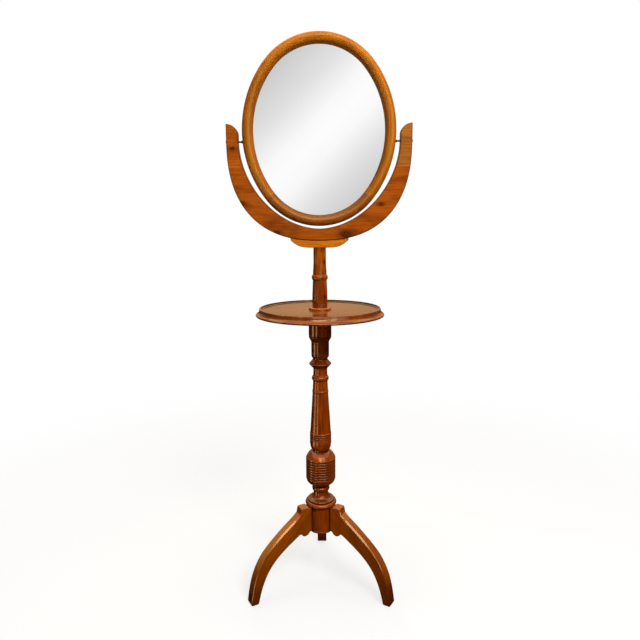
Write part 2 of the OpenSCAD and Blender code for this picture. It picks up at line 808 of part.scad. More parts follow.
// Where the sprigs stand: the arc's centre, its radius and the direction
sprig_places = [
    for (s = [-1, 1], a = [-25, 25]) [[0, s * end_c], frame_end_r, 90 * s + a],
    for (s = [-1, 1], a = [-22, 22]) [[-s * side_c, 0], side_r, 90 - 90 * s + a]
];

module sprigs(gap) {
    for (p = sprig_places)
        translate([p[0][0], pivot_drop + p[0][1], back_face - sprig_d / 2])
            rotate([0, 0, p[2]])
                translate([p[1] - mould_w + rebate_w - sprig_l / 2, 0, 0])
                    rotate([0, 90, 0]) cylinder(d = sprig_d + 2 * gap, h = sprig_l + gap);
}

// What is cut from the frame for a bush: its bore and its flat spot
module bush_cuts() {
    for (s = [0, 1]) mirror([s, 0, 0]) rotate([0, 90, 0]) {
        translate([0, 0, spot_x - bush_l - glue_gap])
            cylinder(d = bush_d + 2 * glue_gap, h = bush_l + 20);
        translate([0, 0, spot_x]) cylinder(d = bush_lip_d + 1, h = 20);
    }
}

module frame_end(side) {
    on_yoke() difference() {
        frame_arc([0, side * end_c], frame_end_r,
            90 * side - 90 + arc_turn, 90 * side + 90 - arc_turn);
        sprigs(screw_gap);
    }
}

module frame_side(side) {
    on_yoke() difference() {
        frame_arc([-side * side_c, 0], side_r,
            90 - 90 * side - arc_turn, 90 - 90 * side + arc_turn);
        sprigs(screw_gap);
        bush_cuts();
    }
}

module frame_top() color(PINE) frame_end(1);

module frame_bottom() color(PINE) frame_end(-1);

module frame_left() color(PINE) frame_side(-1);

module frame_right() color(PINE) frame_side(1);

// The outline of a plate that lies in the rebate
function plate_outline() =
    let (
        inset = mould_w - rebate_w + glass_play,
        n = 24,
        er = frame_end_r - inset,
        sr = side_r - inset
    )
    concat(
        arc([0, end_c], er, arc_turn, 180 - arc_turn, n),
        arc([side_c, 0], sr, 180 - arc_turn, 180 + arc_turn, n),
        arc([0, -end_c], er, 180 + arc_turn, 360 - arc_turn, n),
        arc([-side_c, 0], sr, -arc_turn, arc_turn, n)
    );

module plate(front, t) {
    on_yoke() translate([0, pivot_drop, front - t])
        linear_extrude(height = t) polygon(plate_outline());
}

module mirror_glass() color(MIRROR) plate(glass_front, glass_t);

module back_board() color(BACK) plate(back_front, back_t);

module back_sprigs() color(IRON) on_yoke() sprigs(0);

column();
leg_front_left();
leg_front_right();
leg_rear();
leg_dowels();
tray();
tray_screws();
tray_collar();
post();
yoke_board();
yoke_horn_left();
yoke_horn_right();
yoke_cleat();
cleat_screws();
pivot_screw_left();
pivot_screw_right();
pivot_bush_left();
pivot_bush_right();
frame_top();
frame_bottom();
frame_left();
frame_right();
mirror_glass();
back_board();
back_sprigs();
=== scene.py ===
import math
import bmesh
import bpy
from mathutils import Matrix, Vector


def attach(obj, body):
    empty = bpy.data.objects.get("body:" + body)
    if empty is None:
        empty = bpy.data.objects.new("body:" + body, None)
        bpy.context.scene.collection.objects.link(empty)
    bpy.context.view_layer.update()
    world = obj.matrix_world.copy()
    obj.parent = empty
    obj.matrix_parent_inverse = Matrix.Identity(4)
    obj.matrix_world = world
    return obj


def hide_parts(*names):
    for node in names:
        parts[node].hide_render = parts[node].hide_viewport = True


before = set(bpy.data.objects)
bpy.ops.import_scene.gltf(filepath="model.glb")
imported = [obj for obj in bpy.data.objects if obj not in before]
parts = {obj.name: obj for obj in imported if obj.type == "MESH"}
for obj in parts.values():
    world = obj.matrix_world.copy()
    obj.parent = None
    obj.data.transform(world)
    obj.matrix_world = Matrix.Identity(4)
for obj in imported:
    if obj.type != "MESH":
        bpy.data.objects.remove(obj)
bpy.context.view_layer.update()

# ------------------------------------------------------------------------------ studio
# A pale floor under a white sky, with a broad soft lamp above and to the right, one overhead,
# one behind the stand and weak ones elsewhere. The room that the varnish mirrors is painted
# on the sky: a bright ceiling, tan walls, brighter behind the stand, and a dark carpet.
MM = 0.001
AXIS_Y = -27.5
AXIS = Vector((0, AXIS_Y, 0)) * MM


def linear(code):
    """An sRGB hex value as linear numbers, opaque."""
    channels = [int(code[i:i + 2], 16) / 255 for i in (1, 3, 5)]
    return tuple(v / 12.92 if v <= 0.04045 else ((v + 0.055) / 1.055) ** 2.4
                 for v in channels) + (1.0,)


def node(tree, kind, sockets=None, stops=None, **settings):
    """A node with its settings, its ramp's stops, and its values or links. A link comes from
    a socket, or from a node's first output."""
    made = tree.nodes.new(kind)
    for key, value in settings.items():
        setattr(made, key, value)
    if stops:
        ramp = made.color_ramp.elements
        while len(ramp) < len(stops):
            ramp.new(0.5)
        for spot, (place, colour) in zip(ramp, stops):
            spot.position = place
            spot.color = linear(colour) if isinstance(colour, str) else (colour,) * 3 + (1,)
    for key, value in (sockets or {}).items():
        if isinstance(value, bpy.types.Node):
            value = value.outputs[0]
        if isinstance(value, bpy.types.NodeSocket):
            tree.links.new(value, made.inputs[key])
        else:
            made.inputs[key].default_value = value
    return made


sky = bpy.data.worlds.new("studio_sky")
bpy.context.scene.world = sky
sky.use_nodes = True
tree = sky.node_tree
tree.nodes.clear()
way = node(tree, "ShaderNodeTexCoord").outputs["Generated"]
axes = node(tree, "ShaderNodeSeparateXYZ", {0: way})
height = node(tree, "ShaderNodeMapRange", {"Value": axes.outputs["Z"], "From Min": -1.0})
room = node(tree, "ShaderNodeValToRGB", {0: height}, stops=[
    (0.00, "#120602"), (0.46, "#1E0E06"), (0.51, "#765439"), (0.58, "#94704E"),
    (0.70, "#A08260"), (0.85, "#E8C894"), (1.00, "#FFE8C0")])
rear = node(tree, "ShaderNodeMapRange", {
    "Value": axes.outputs["Y"], "From Min": 0.3, "From Max": 0.95, "To Min": 0.9, "To Max": 2.4},
    interpolation_type="SMOOTHSTEP")
room = node(tree, "ShaderNodeVectorMath", {0: room, "Scale": rear}, operation="SCALE")
# Lit panes stand as soft streaks on every turned or moulded part: two low windows at the
# left, a narrow pane in a broad bay at the right, a lamp high behind the camera and the white
# ceiling. Each row: bearing to the left and half width in degrees, from where to where it
# reaches as the height of a unit ray, and its glow. A pane fades out at its sides from CORE
# to FRINGE of its half width, and at its sill and head over SOFT.
CORE, FRINGE, SOFT = 0.6, 1.3, 0.06
west = node(tree, "ShaderNodeMath", {0: axes.outputs["X"], 1: -1.0}, operation="MULTIPLY")
south = node(tree, "ShaderNodeMath", {0: axes.outputs["Y"], 1: -1.0}, operation="MULTIPLY")
bearing = node(tree, "ShaderNodeMath", {0: west, 1: south}, operation="ARCTAN2")
panes = None
for place, half, bottom, top, glow in (
        (77, 9, -0.5, -0.08, 5.0), (36, 6, -0.46, -0.08, 5.0), (-27, 6, 0.0, 0.7, 8.0),
        (-22, 30, 0.0, 0.45, 3.0), (0, 15, 0.36, 0.68, 11.0), (0, 200, 0.55, 1.2, 2.0)):
    off = node(tree, "ShaderNodeMath", {0: bearing, 1: math.radians(place)},
               operation="SUBTRACT")
    off = node(tree, "ShaderNodeMath", {0: off}, operation="ABSOLUTE")
    pane = node(tree, "ShaderNodeMapRange", {
        "Value": off, "From Min": math.radians(half * CORE),
        "From Max": math.radians(half * FRINGE), "To Min": glow, "To Max": 0.0},
        interpolation_type="SMOOTHSTEP")
    sill = node(tree, "ShaderNodeMapRange", {
        "Value": axes.outputs["Z"], "From Min": bottom, "From Max": bottom + SOFT},
        interpolation_type="SMOOTHSTEP")
    head = node(tree, "ShaderNodeMapRange", {
        "Value": axes.outputs["Z"], "From Min": top, "From Max": top + SOFT, "To Min": 1.0,
        "To Max": 0.0}, interpolation_type="SMOOTHSTEP")
    pane = node(tree, "ShaderNodeMath", {0: pane, 1: sill}, operation="MULTIPLY")
    pane = node(tree, "ShaderNodeMath", {0: pane, 1: head}, operation="MULTIPLY")
    panes = pane if panes is None else node(
        tree, "ShaderNodeMath", {0: panes, 1: pane}, operation="MAXIMUM")
panes = node(tree, "ShaderNodeVectorMath", {0: linear("#FFDFA8")[:3], "Scale": panes},
             operation="SCALE")
mirrored = node(tree, "ShaderNodeVectorMath", {0: room, 1: panes}, operation="ADD")
# Straight in front of the glass the wall is grey with one white diagonal, which the mirror
# shows. The diagonal is square to ACROSS_BAND, and BAND_SHIFT centres it on the glass.
ACROSS_BAND, BAND_SHIFT = (4.9, 0, -5.1), 0.8
slope = node(tree, "ShaderNodeVectorMath", {0: way, 1: ACROSS_BAND}, operation="DOT_PRODUCT")
band = node(tree, "ShaderNodeMath", {0: slope.outputs["Value"], 1: BAND_SHIFT},
            operation="ADD")
band = node(tree, "ShaderNodeMath", {0: band}, operation="ABSOLUTE")
band = node(tree, "ShaderNodeValToRGB", {0: band}, stops=[
    (0.0, "#FFFFFF"), (0.2, "#FBFBFB"), (0.5, "#E4E4E4"), (0.9, "#CDCDCD")])
front = None
for value, low, high, before, after in (
        (axes.outputs["X"], 0.13, 0.17, 1, 0), (axes.outputs["X"], -0.17, -0.13, 0, 1),
        (axes.outputs["Z"], 0.34, 0.37, 1, 0), (axes.outputs["Z"], -0.06, -0.02, 0, 1),
        (axes.outputs["Y"], -0.1, 0.0, 1, 0)):
    edge = node(tree, "ShaderNodeMapRange", {
        "Value": value, "From Min": low, "From Max": high, "To Min": before, "To Max": after},
        interpolation_type="SMOOTHSTEP")
    front = edge if front is None else node(
        tree, "ShaderNodeMath", {0: front, 1: edge}, operation="MULTIPLY")
# The room lights the wood at a share of the strength that the varnish mirrors it with
ROOM_LIGHT = 0.36
dim = node(tree, "ShaderNodeVectorMath", {0: room, "Scale": ROOM_LIGHT}, operation="SCALE")
ray = node(tree, "ShaderNodeLightPath").outputs
# The glass alone is sharp enough for singular rays. Unlike the softer varnish, it shows a
# plain pale studio wherever it doesn't show the diagonal.
plain = node(tree, "ShaderNodeValToRGB", {0: height}, stops=[
    (0.0, "#F4F3F1"), (0.42, "#E9E7E4"), (0.52, "#D2D0CD"), (0.7, "#E6E6E6"), (1.0, "#FFFFFF")])
mirrored = node(tree, "ShaderNodeMix", {
    0: ray["Is Singular Ray"], 6: mirrored, 7: plain}, data_type="RGBA").outputs[2]
seen = node(tree, "ShaderNodeMix", {0: front, 6: mirrored, 7: band}, data_type="RGBA")
# The lit panes show in varnish, but don't light the wood by way of the mirror
direct = node(tree, "ShaderNodeMath", {0: ray["Diffuse Depth"], 1: 0.5}, operation="LESS_THAN")
direct = node(tree, "ShaderNodeMath", {0: ray["Is Glossy Ray"], 1: direct},
              operation="MULTIPLY")
seen = node(tree, "ShaderNodeMix", {0: direct, 6: dim, 7: seen.outputs[2]}, data_type="RGBA")
seen = node(tree, "ShaderNodeMix", {
    0: ray["Is Camera Ray"], 6: seen.outputs[2], 7: (1, 1, 1, 1)}, data_type="RGBA")
lit = node(tree, "ShaderNodeBackground", {"Color": seen.outputs[2]})
node(tree, "ShaderNodeOutputWorld", {"Surface": lit})

# Matt pale paint, lifted towards white so that only the softest shadow shows. It fades into
# the sky between FADE_NEAR and FADE_FAR metres from the middle.
FLOOR_HALF, FADE_NEAR, FADE_FAR, LIFT = 6.0, 0.5, 2.2, 0.72
floor_mesh = bpy.data.meshes.new("floor")
floor_mesh.from_pydata([(x * FLOOR_HALF, y * FLOOR_HALF, 0)
                        for x, y in ((-1, -1), (1, -1), (1, 1), (-1, 1))], [], [(0, 1, 2, 3)])
floor = bpy.data.objects.new("floor", floor_mesh)
bpy.context.scene.collection.objects.link(floor)
pale = bpy.data.materials.new("pale_floor_paint")
pale.use_nodes = True
tree = pale.node_tree
tree.nodes.clear()
spot = node(tree, "ShaderNodeTexCoord").outputs["Object"]
far = node(tree, "ShaderNodeVectorMath", {0: spot}, operation="LENGTH")
fade = node(tree, "ShaderNodeMapRange", {
    "Value": far.outputs["Value"], "From Min": FADE_NEAR, "From Max": FADE_FAR},
    interpolation_type="SMOOTHSTEP")
matt = node(tree, "ShaderNodeBsdfDiffuse", {"Color": linear("#F4F9FF")})
glow = node(tree, "ShaderNodeEmission", {"Color": linear("#FFFFFF")})
lifted = node(tree, "ShaderNodeMixShader", {0: LIFT, 1: matt, 2: glow})
clear = node(tree, "ShaderNodeBsdfTransparent")
blend = node(tree, "ShaderNodeMixShader", {0: fade, 1: lifted, 2: clear})
node(tree, "ShaderNodeOutputMaterial", {"Surface": blend})
floor_mesh.materials.append(pale)
# The light that the room's own dark carpet sends up comes from the sky, not from this floor
floor.visible_diffuse = False
floor.visible_glossy = False

# The lamps light the wood, and what they look like in its varnish is painted on the sky.
# Each row: name, place, aim, width and height in metres, power in watts, cone in degrees.
for name, place, aim, wide, high, power, cone in (
        ("key", (1.0, -1.9, 2.6), (0, 0, 0.7), 1.2, 0.7, 66, 180),
        ("top", (0.0, 0.0, 3.0), (0, 0, 1.0), 1.8, 1.0, 42, 180),
        ("window", (-2.4, -1.0, 1.0), (0, 0, 0.6), 0.8, 2.0, 3, 180),
        ("fill", (1.4, -2.3, 0.9), (0, 0, 0.5), 1.4, 1.4, 3, 180),
        ("back", (-0.8, 2.5, 1.9), (0, 0, 0.9), 1.6, 1.4, 16, 180),
        ("bounce", (0.3, -1.5, 0.15), (0, 0, 1.5), 1.0, 0.4, 1.4, 40)):
    lamp = bpy.data.lights.new(name, "AREA")
    lamp.shape, lamp.size, lamp.size_y = "RECTANGLE", wide, high
    lamp.energy, lamp.color = power, linear("#FFFAF2")[:3]
    lamp.spread = math.radians(cone)
    stand = bpy.data.objects.new(name, lamp)
    stand.visible_glossy = False
    stand.matrix_world = (Matrix.Translation(place)
                          @ (Vector(aim) - Vector(place)).to_track_quat("-Z", "Y")
                          .to_matrix().to_4x4())
    bpy.context.scene.collection.objects.link(stand)

# The camera stands a step in front of the tray at chest height and looks slightly down
EYE_FAR, EYE_HIGH = 1603.5, 1079.9
eye = bpy.data.cameras.new("camera")
eye.lens, eye.sensor_width, eye.clip_end = 32.05, 36.0, 50.0
turned, tipped, rolled = (math.radians(v) for v in (0.84, 80.5, -0.3))
camera = bpy.data.objects.new("camera", eye)
camera.matrix_world = (
    Matrix.Translation(AXIS + Vector((EYE_FAR * math.sin(turned), -EYE_FAR * math.cos(turned),
                                      EYE_HIGH)) * MM)
    @ Matrix.Rotation(turned, 4, "Z") @ Matrix.Rotation(tipped, 4, "X")
    @ Matrix.Rotation(rolled, 4, "Z"))
bpy.context.scene.collection.objects.link(camera)
bpy.context.scene.camera = camera
bpy.context.scene.view_settings.view_transform = "Standard"

# -------------------------------------------------------------------------------- legs
# Three legs sawn from 30 mm pine plank, each with a raised knee block, a scroll under the knee
# and chamfers that stop below the block. Two dowels hold each against the column's block. The
# grain runs from knee to toe. The varnish is rubbed pale along the chamfers and backs of the
# left and rear legs, and shade is painted on the right leg's back, round the knee blocks,
# towards the toes and where the legs meet the column.


def wood(name, soft, hard, stain, along, across, origin, heart=(-30, -45), ring=4.0,
         contrast=0.6, streak=0.45, blotch=0.4, rough=0.3, coat=0.7, tooling=0.0,
         low_shade=0.0, block_shade=0.0, gloss=0.3, knots=(), glue=()):
    """Varnished pine. Its soft early wood is pale and its hard late wood dark, in rings of
    ring mm round a heart that lies off the piece, and stain is the colour that soaked in.
    along is the grain's direction and across the board's width, seen from origin in mm.
    coat is the varnish over it, and gloss the sheen of the wood below. tooling is how far the
    lathe's chatter shows. low_shade paints shade on the wood near the floor, and block_shade
    paints shade close to the column's axis, where the legs meet its block. Each knot is (along
    mm, across mm, radius mm), and glue is the place across and the half width of a pale joint
    line."""
    made = bpy.data.materials.new(name)
    made.use_nodes = True
    tree = made.node_tree
    tree.nodes.clear()
    turn = Matrix((along, across, Vector(along).cross(Vector(across)))).transposed()
    place = node(tree, "ShaderNodeTexCoord").outputs["Object"]
    board = node(tree, "ShaderNodeMapping", {
        "Vector": place, "Location": Vector(origin) * MM, "Rotation": turn.to_euler()},
        vector_type="TEXTURE")
    # Waves per metre along, across and through the board. The trunk sways by some 20 mm over
    # half a metre, which draws the arched figure. Fibres are 0.7 mm wide, streaks 3 mm, and
    # blotches of 40 mm are where the stain soaked in. The varnish ripples every 20 to 40 mm,
    # the lathe chatters every millimetre, and knots are ragged within 6 mm.
    field = {}
    waves_of = [("sway", (2.2, 7, 7), 2), ("fibre", (28, 1300, 1300), 2),
                ("streak", (14, 320, 320), 4), ("blotch", (9, 24, 24), 2),
                ("ripple", (22, 45, 45), 1)]
    waves_of += [("chatter", (900, 4, 4), 2)] * bool(tooling)
    waves_of += [("ragged", (170, 170, 170), 2)] * bool(knots)
    for label, waves, detail in waves_of:
        grid = node(tree, "ShaderNodeVectorMath", {0: board, 1: waves}, operation="MULTIPLY")
        field[label] = node(tree, "ShaderNodeTexNoise", {
            "Vector": grid, "Scale": 1.0, "Detail": detail})
    sway = node(tree, "ShaderNodeVectorMath", {
        0: field["sway"].outputs["Color"], 1: (0, 0.044, 0.044),
        2: Vector((0, -22 - heart[0], -22 - heart[1])) * MM}, operation="MULTIPLY_ADD")
    trunk = node(tree, "ShaderNodeVectorMath", {0: board, 1: sway}, operation="ADD")
    trunk = node(tree, "ShaderNodeVectorMath", {0: trunk, 1: (0, 1, 1)}, operation="MULTIPLY")
    radius = node(tree, "ShaderNodeVectorMath", {0: trunk}, operation="LENGTH").outputs["Value"]
    cores, halos = None, None
    for x, y, size in knots:
        off = node(tree, "ShaderNodeVectorMath", {0: board, 1: Vector((x, y, 0)) * MM},
                   operation="SUBTRACT")
        reach = {}
        for label, stretch in (("eye", (0.17, 0.4, 0)), ("core", (0.75, 1.0, 0))):
            near = node(tree, "ShaderNodeVectorMath", {
                0: off, 1: Vector(stretch) / (size * MM)}, operation="MULTIPLY")
            reach[label] = node(tree, "ShaderNodeVectorMath", {0: near}, operation="LENGTH")
        # Rings swell round the knot, a dark stain spreads about it and its core is ragged
        swell = node(tree, "ShaderNodeMapRange", {
            "Value": reach["eye"].outputs["Value"], "From Max": 1.0, "To Min": 1.0,
            "To Max": 0.0}, interpolation_type="SMOOTHERSTEP")
        radius = node(tree, "ShaderNodeMath", {0: swell, 1: size * MM * 2.4, 2: radius},
                      operation="MULTIPLY_ADD")
        ragged = node(tree, "ShaderNodeMath", {
            0: field["ragged"], 1: 1.1, 2: reach["core"].outputs["Value"]},
            operation="MULTIPLY_ADD")
        core = node(tree, "ShaderNodeMapRange", {
            "Value": ragged, "From Min": 1.9, "From Max": 1.0}, interpolation_type="SMOOTHSTEP")
        cores = core if cores is None else node(
            tree, "ShaderNodeMath", {0: core, 1: cores}, operation="MAXIMUM")
        halo = node(tree, "ShaderNodeMath", {0: swell, 1: 1.6}, operation="POWER")
        halos = halo if halos is None else node(
            tree, "ShaderNodeMath", {0: halo, 1: halos}, operation="MAXIMUM")
    rings = node(tree, "ShaderNodeMath", {0: radius, 1: ring * MM}, operation="DIVIDE")
    late = node(tree, "ShaderNodeMath", {0: rings}, operation="FRACT")
    late = node(tree, "ShaderNodeValToRGB", {0: late}, stops=[
        (0.0, 0.0), (0.45, 0.08), (0.78, 0.75), (0.92, 1.0), (1.0, 0.0)])
    year = node(tree, "ShaderNodeMath", {0: rings}, operation="FLOOR")
    year = node(tree, "ShaderNodeTexWhiteNoise", {"W": year}, noise_dimensions="1D")
    year = node(tree, "ShaderNodeMapRange", {"Value": year, "To Min": 0.15})
    late = node(tree, "ShaderNodeMath", {0: late, 1: year}, operation="MULTIPLY")
    # The mesh's marks: above nought, old wax and painted shade; below nought, pale rubbing and
    # painted highlight
    groove = node(tree, "ShaderNodeAttribute", attribute_name="groove").outputs["Fac"]
    joint = None
    if glue:
        across_at = node(tree, "ShaderNodeSeparateXYZ", {0: board}).outputs["Y"]
        joint = node(tree, "ShaderNodeMath", {0: across_at, 1: glue[0] * MM},
                     operation="SUBTRACT")
        joint = node(tree, "ShaderNodeMath", {0: joint}, operation="ABSOLUTE")
        joint = node(tree, "ShaderNodeMapRange", {
            "Value": joint, "From Min": glue[1] * MM, "From Max": 0.0})
    axle = node(tree, "ShaderNodeVectorMath", {0: place, 1: AXIS}, operation="SUBTRACT")
    axle = node(tree, "ShaderNodeVectorMath", {0: axle, 1: (1, 1, 0)}, operation="MULTIPLY")
    axle = node(tree, "ShaderNodeVectorMath", {0: axle}, operation="LENGTH").outputs["Value"]
    level = node(tree, "ShaderNodeSeparateXYZ", {0: place}).outputs["Z"]
    # Layers of colour over the early wood: late wood, streaks, soaked-in stain, fibres, knots, a
    # joint, pale rubbing and painted highlight, painted shade where the legs meet the column and
    # low on the legs, and old wax with painted shade in grooves, on arrises and in hollows. Each
    # row: what drives it, from where to where, its strength, its colour and how it is laid.
    colour = linear(soft)
    for share, low, high, most, over, blend in (
            (late, 0, 1, contrast, hard, "MIX"),
            (field["streak"], 0.46, 0.64, streak, stain, "MIX"),
            (field["blotch"], 0.42, 0.66, blotch, stain, "MIX"),
            (field["fibre"], 0, 1, 0.35, hard, "MULTIPLY"),
            (halos, 0, 1, 0.65, stain, "MIX"),
            (cores, 0, 1, 0.85, "#2A0F04", "MIX"),
            (joint, 0, 1, 0.38, "#F0B060", "MIX"),
            (groove, 0, -1, 0.8, "#B87E34", "MIX"),
            (axle, 0.048, 0.038, block_shade, "#2A0C02", "MIX"),
            (level, 0.17, 0.0, low_shade, "#3E1402", "MIX"),
            (groove, 0, 1, 0.85, "#1E0A04", "MIX")):
        if share is None or not most:
            continue
        share = node(tree, "ShaderNodeMapRange", {
            "Value": share, "From Min": low, "From Max": high, "To Max": most},
            interpolation_type="SMOOTHSTEP")
        colour = node(tree, "ShaderNodeMix", {0: share, 6: colour, 7: linear(over)},
                      data_type="RGBA", blend_type=blend).outputs[2]
    dull = node(tree, "ShaderNodeMapRange", {
        "Value": field["blotch"], "From Min": 0.3, "From Max": 0.7, "To Min": rough,
        "To Max": rough + 0.14})
    lay = node(tree, "ShaderNodeMath", {0: late, 1: 0.5, 2: field["fibre"]},
               operation="MULTIPLY_ADD")
    if tooling:
        lay = node(tree, "ShaderNodeMath", {0: field["chatter"], 1: tooling, 2: lay},
                   operation="MULTIPLY_ADD")
    relief = node(tree, "ShaderNodeBump", {
        "Strength": 0.05, "Distance": 0.0003, "Height": lay})
    flow = node(tree, "ShaderNodeBump", {
        "Strength": 0.15, "Distance": 0.0012, "Height": field["ripple"]})
    body = node(tree, "ShaderNodeBsdfPrincipled", {
        "Base Color": colour, "Roughness": dull, "IOR": 1.5, "Normal": relief,
        "Specular IOR Level": gloss, "Specular Tint": linear("#FFAC54"),
        "Coat Weight": coat, "Coat Roughness": 0.1, "Coat IOR": 1.5, "Coat Normal": flow})
    node(tree, "ShaderNodeOutputMaterial", {"Surface": body})
    return made


def sawn(outline, thick, ease=1.5, eases=None, rows=4, edge_shade=0.6, paled_and_shaded=()):
    """A mesh of a board sawn to an outline in mm, its corners eased. eases may give one value
    for each edge. One row makes a flat chamfer, and more make a round. Shade is painted on the
    arrises, as dark as edge_shade says. Each point of the sawn edge is painted pale as rubbed
    varnish where paled_and_shaded is above nought, and dark as painted shade where it is below.
    A row of points inset mm inside each face keeps that painted shade to the edge. X and Y hold
    the outline."""
    inset = 1.5
    area = sum(a[0] * b[1] - b[0] * a[1]
               for a, b in zip(outline, outline[1:] + outline[:1]))
    eases = list(eases) if eases else [ease] * len(outline)
    pale = list(paled_and_shaded) or [0] * len(outline)
    if area < 0:
        outline, pale = outline[::-1], pale[::-1]
        eases = eases[-2::-1] + eases[-1:]
    count = len(outline)
    points = [Vector(p) for p in outline]
    insets, depths = [], []
    for i, point in enumerate(points):
        before, after = eases[i - 1], eases[i]
        into = (point - points[i - 1]).normalized()
        out = (points[(i + 1) % count] - point).normalized()
        n1, n2 = Vector((into.y, -into.x)), Vector((out.y, -out.x))
        det = n1.x * n2.y - n1.y * n2.x
        if abs(det) < 0.05:
            shift = -(n1 + n2).normalized() * (before + after) / 2
        else:
            shift = Vector(((-before * n2.y + after * n1.y) / det,
                            (-after * n1.x + before * n2.x) / det))
        insets.append(shift)
        depths.append(max(before, after))
    shape = bmesh.new()
    groove = shape.verts.layers.float.new("groove")
    rings = []
    levels = list(range(-1, rows + 1))
    for s, k in [(1, k) for k in levels] + [(-1, k) for k in levels[::-1]]:
        turn = math.pi / 2 * max(k, 0) / rows
        inward, down = 1 - math.sin(turn), 1 - math.cos(turn)
        line = (k < 0) * inset
        ring = [shape.verts.new(Vector((
            *(points[i] + insets[i] * (inward + line / max(depths[i], 1))),
            s * (thick / 2 - depths[i] * down))) * MM) for i in range(count)]
        # Painted shade on the arrises; along the sawn edge, pale rubbing above nought and
        # painted shade below
        for vert, bare in zip(ring, pale):
            vert[groove] = 0 if k < 0 else -bare if bare and k == rows else edge_shade
        rings.append(ring)
    for upper, lower in zip(rings, rings[1:]):
        for i in range(count):
            j = (i + 1) % count
            shape.faces.new((upper[i], upper[j], lower[j], lower[i]))
    shape.faces.new(rings[0])
    shape.faces.new(rings[-1][::-1])
    bmesh.ops.remove_doubles(shape, verts=shape.verts, dist=1e-6)
    bmesh.ops.triangulate(shape, faces=[f for f in shape.faces if len(f.verts) > 4])
    bmesh.ops.recalc_face_normals(shape, faces=shape.faces)
    mesh = bpy.data.meshes.new("sawn")
    shape.to_mesh(mesh)
    shape.free()
    return mesh


def fit(name, mesh, placing, finish, slot, body, *stands_for):
    """Puts a finished mesh in its place, with its finish, hides the imported parts that it
    stands for, and parents it to its body's empty. Edges sharper than crease degrees stay sharp."""
    crease = 32
    mesh.transform(placing)
    mesh.polygons.foreach_set("use_smooth", [True] * len(mesh.polygons))
    mesh.set_sharp_from_angle(angle=math.radians(crease))
    mesh.materials.clear()
    mesh.materials.append(finish)
    piece = bpy.data.objects.new("finished_" + name, mesh)
    bpy.context.scene.collection.objects.link(piece)
    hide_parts(*stands_for)
    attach(piece, body)


def cubic(p0, p1, p2, p3, count):
    """Points of a cubic curve with the ends p0 and p3 and the handles p1 and p2."""
    return [((1 - t) ** 3 * Vector(p0) + 3 * (1 - t) ** 2 * t * Vector(p1)
             + 3 * (1 - t) * t * t * Vector(p2) + t ** 3 * Vector(p3))
            for t in (i / count for i in range(count + 1))]


def arc(centre, radius, start, end, count):
    return [Vector(centre) + radius * Vector((math.cos(math.radians(a)),
                                              math.sin(math.radians(a))))
            for a in (start + (end - start) * i / count for i in range(count + 1))]


# The leg seen from its side, as distance from the column's axis and height in mm: the flat
# against the block, the knee's step, the back down to the toe, and the belly up to the scroll
BLOCK_FLAT, LEG_THICK, SHOULDER, STEP_IN, SCROLL_Z = 34.9, 30, 253, 48.5, 182
KNEE_X, KNEE_Z, HOLLOW_X, HOLLOW_Z = 75.9, 238, 78.9, 177
TOE_OUT, TOE_IN, TOE_R = 237, 213, 5
back = cubic((KNEE_X, KNEE_Z), (KNEE_X + (TOE_OUT - KNEE_X) * 0.78, KNEE_Z * 0.63),
             (KNEE_X + (TOE_OUT - KNEE_X) * 0.92, KNEE_Z * 0.45), (TOE_OUT, TOE_R), 48)
belly = cubic((HOLLOW_X, HOLLOW_Z), (HOLLOW_X + (TOE_IN - HOLLOW_X) * 0.55, HOLLOW_Z * 0.73),
              (HOLLOW_X + (TOE_IN - HOLLOW_X) * 0.83, HOLLOW_Z * 0.6), (TOE_IN, TOE_R), 32)
leg_line = [Vector((BLOCK_FLAT, SHOULDER)), Vector((STEP_IN, SHOULDER)),
            Vector((STEP_IN, SHOULDER + 4))] + arc((KNEE_X - 7, SHOULDER), 4, 90, 15, 6)
knee_end = len(leg_line)
leg_line += (back + arc((TOE_OUT - TOE_R, TOE_R), TOE_R, 0, -90, 6)[1:]
             + arc((TOE_IN + TOE_R, TOE_R), TOE_R, -90, -180, 6))
leg_line += (belly[::-1][1:] + arc((HOLLOW_X - 19, SCROLL_Z), 14, -20, -160, 14)
             + [Vector((BLOCK_FLAT, SCROLL_Z))])
# The chamfer starts under the knee's step, is widest soon after and dies out down the leg
EASE, SEAT_EASE, CHAMFER = 1.3, 0.6, 2.9
leg_eases = [EASE] * len(leg_line)
leg_eases[-1] = SEAT_EASE
travel = 0.0
for i in range(len(back) - 1):
    travel += (back[i + 1] - back[i]).length
    rise = min(max((travel - 10) / 12, 0), 1)
    fall = min(max((150 - travel) / 60, 0), 1)
    leg_eases[knee_end + i] = EASE + CHAMFER * rise * fall ** 0.7
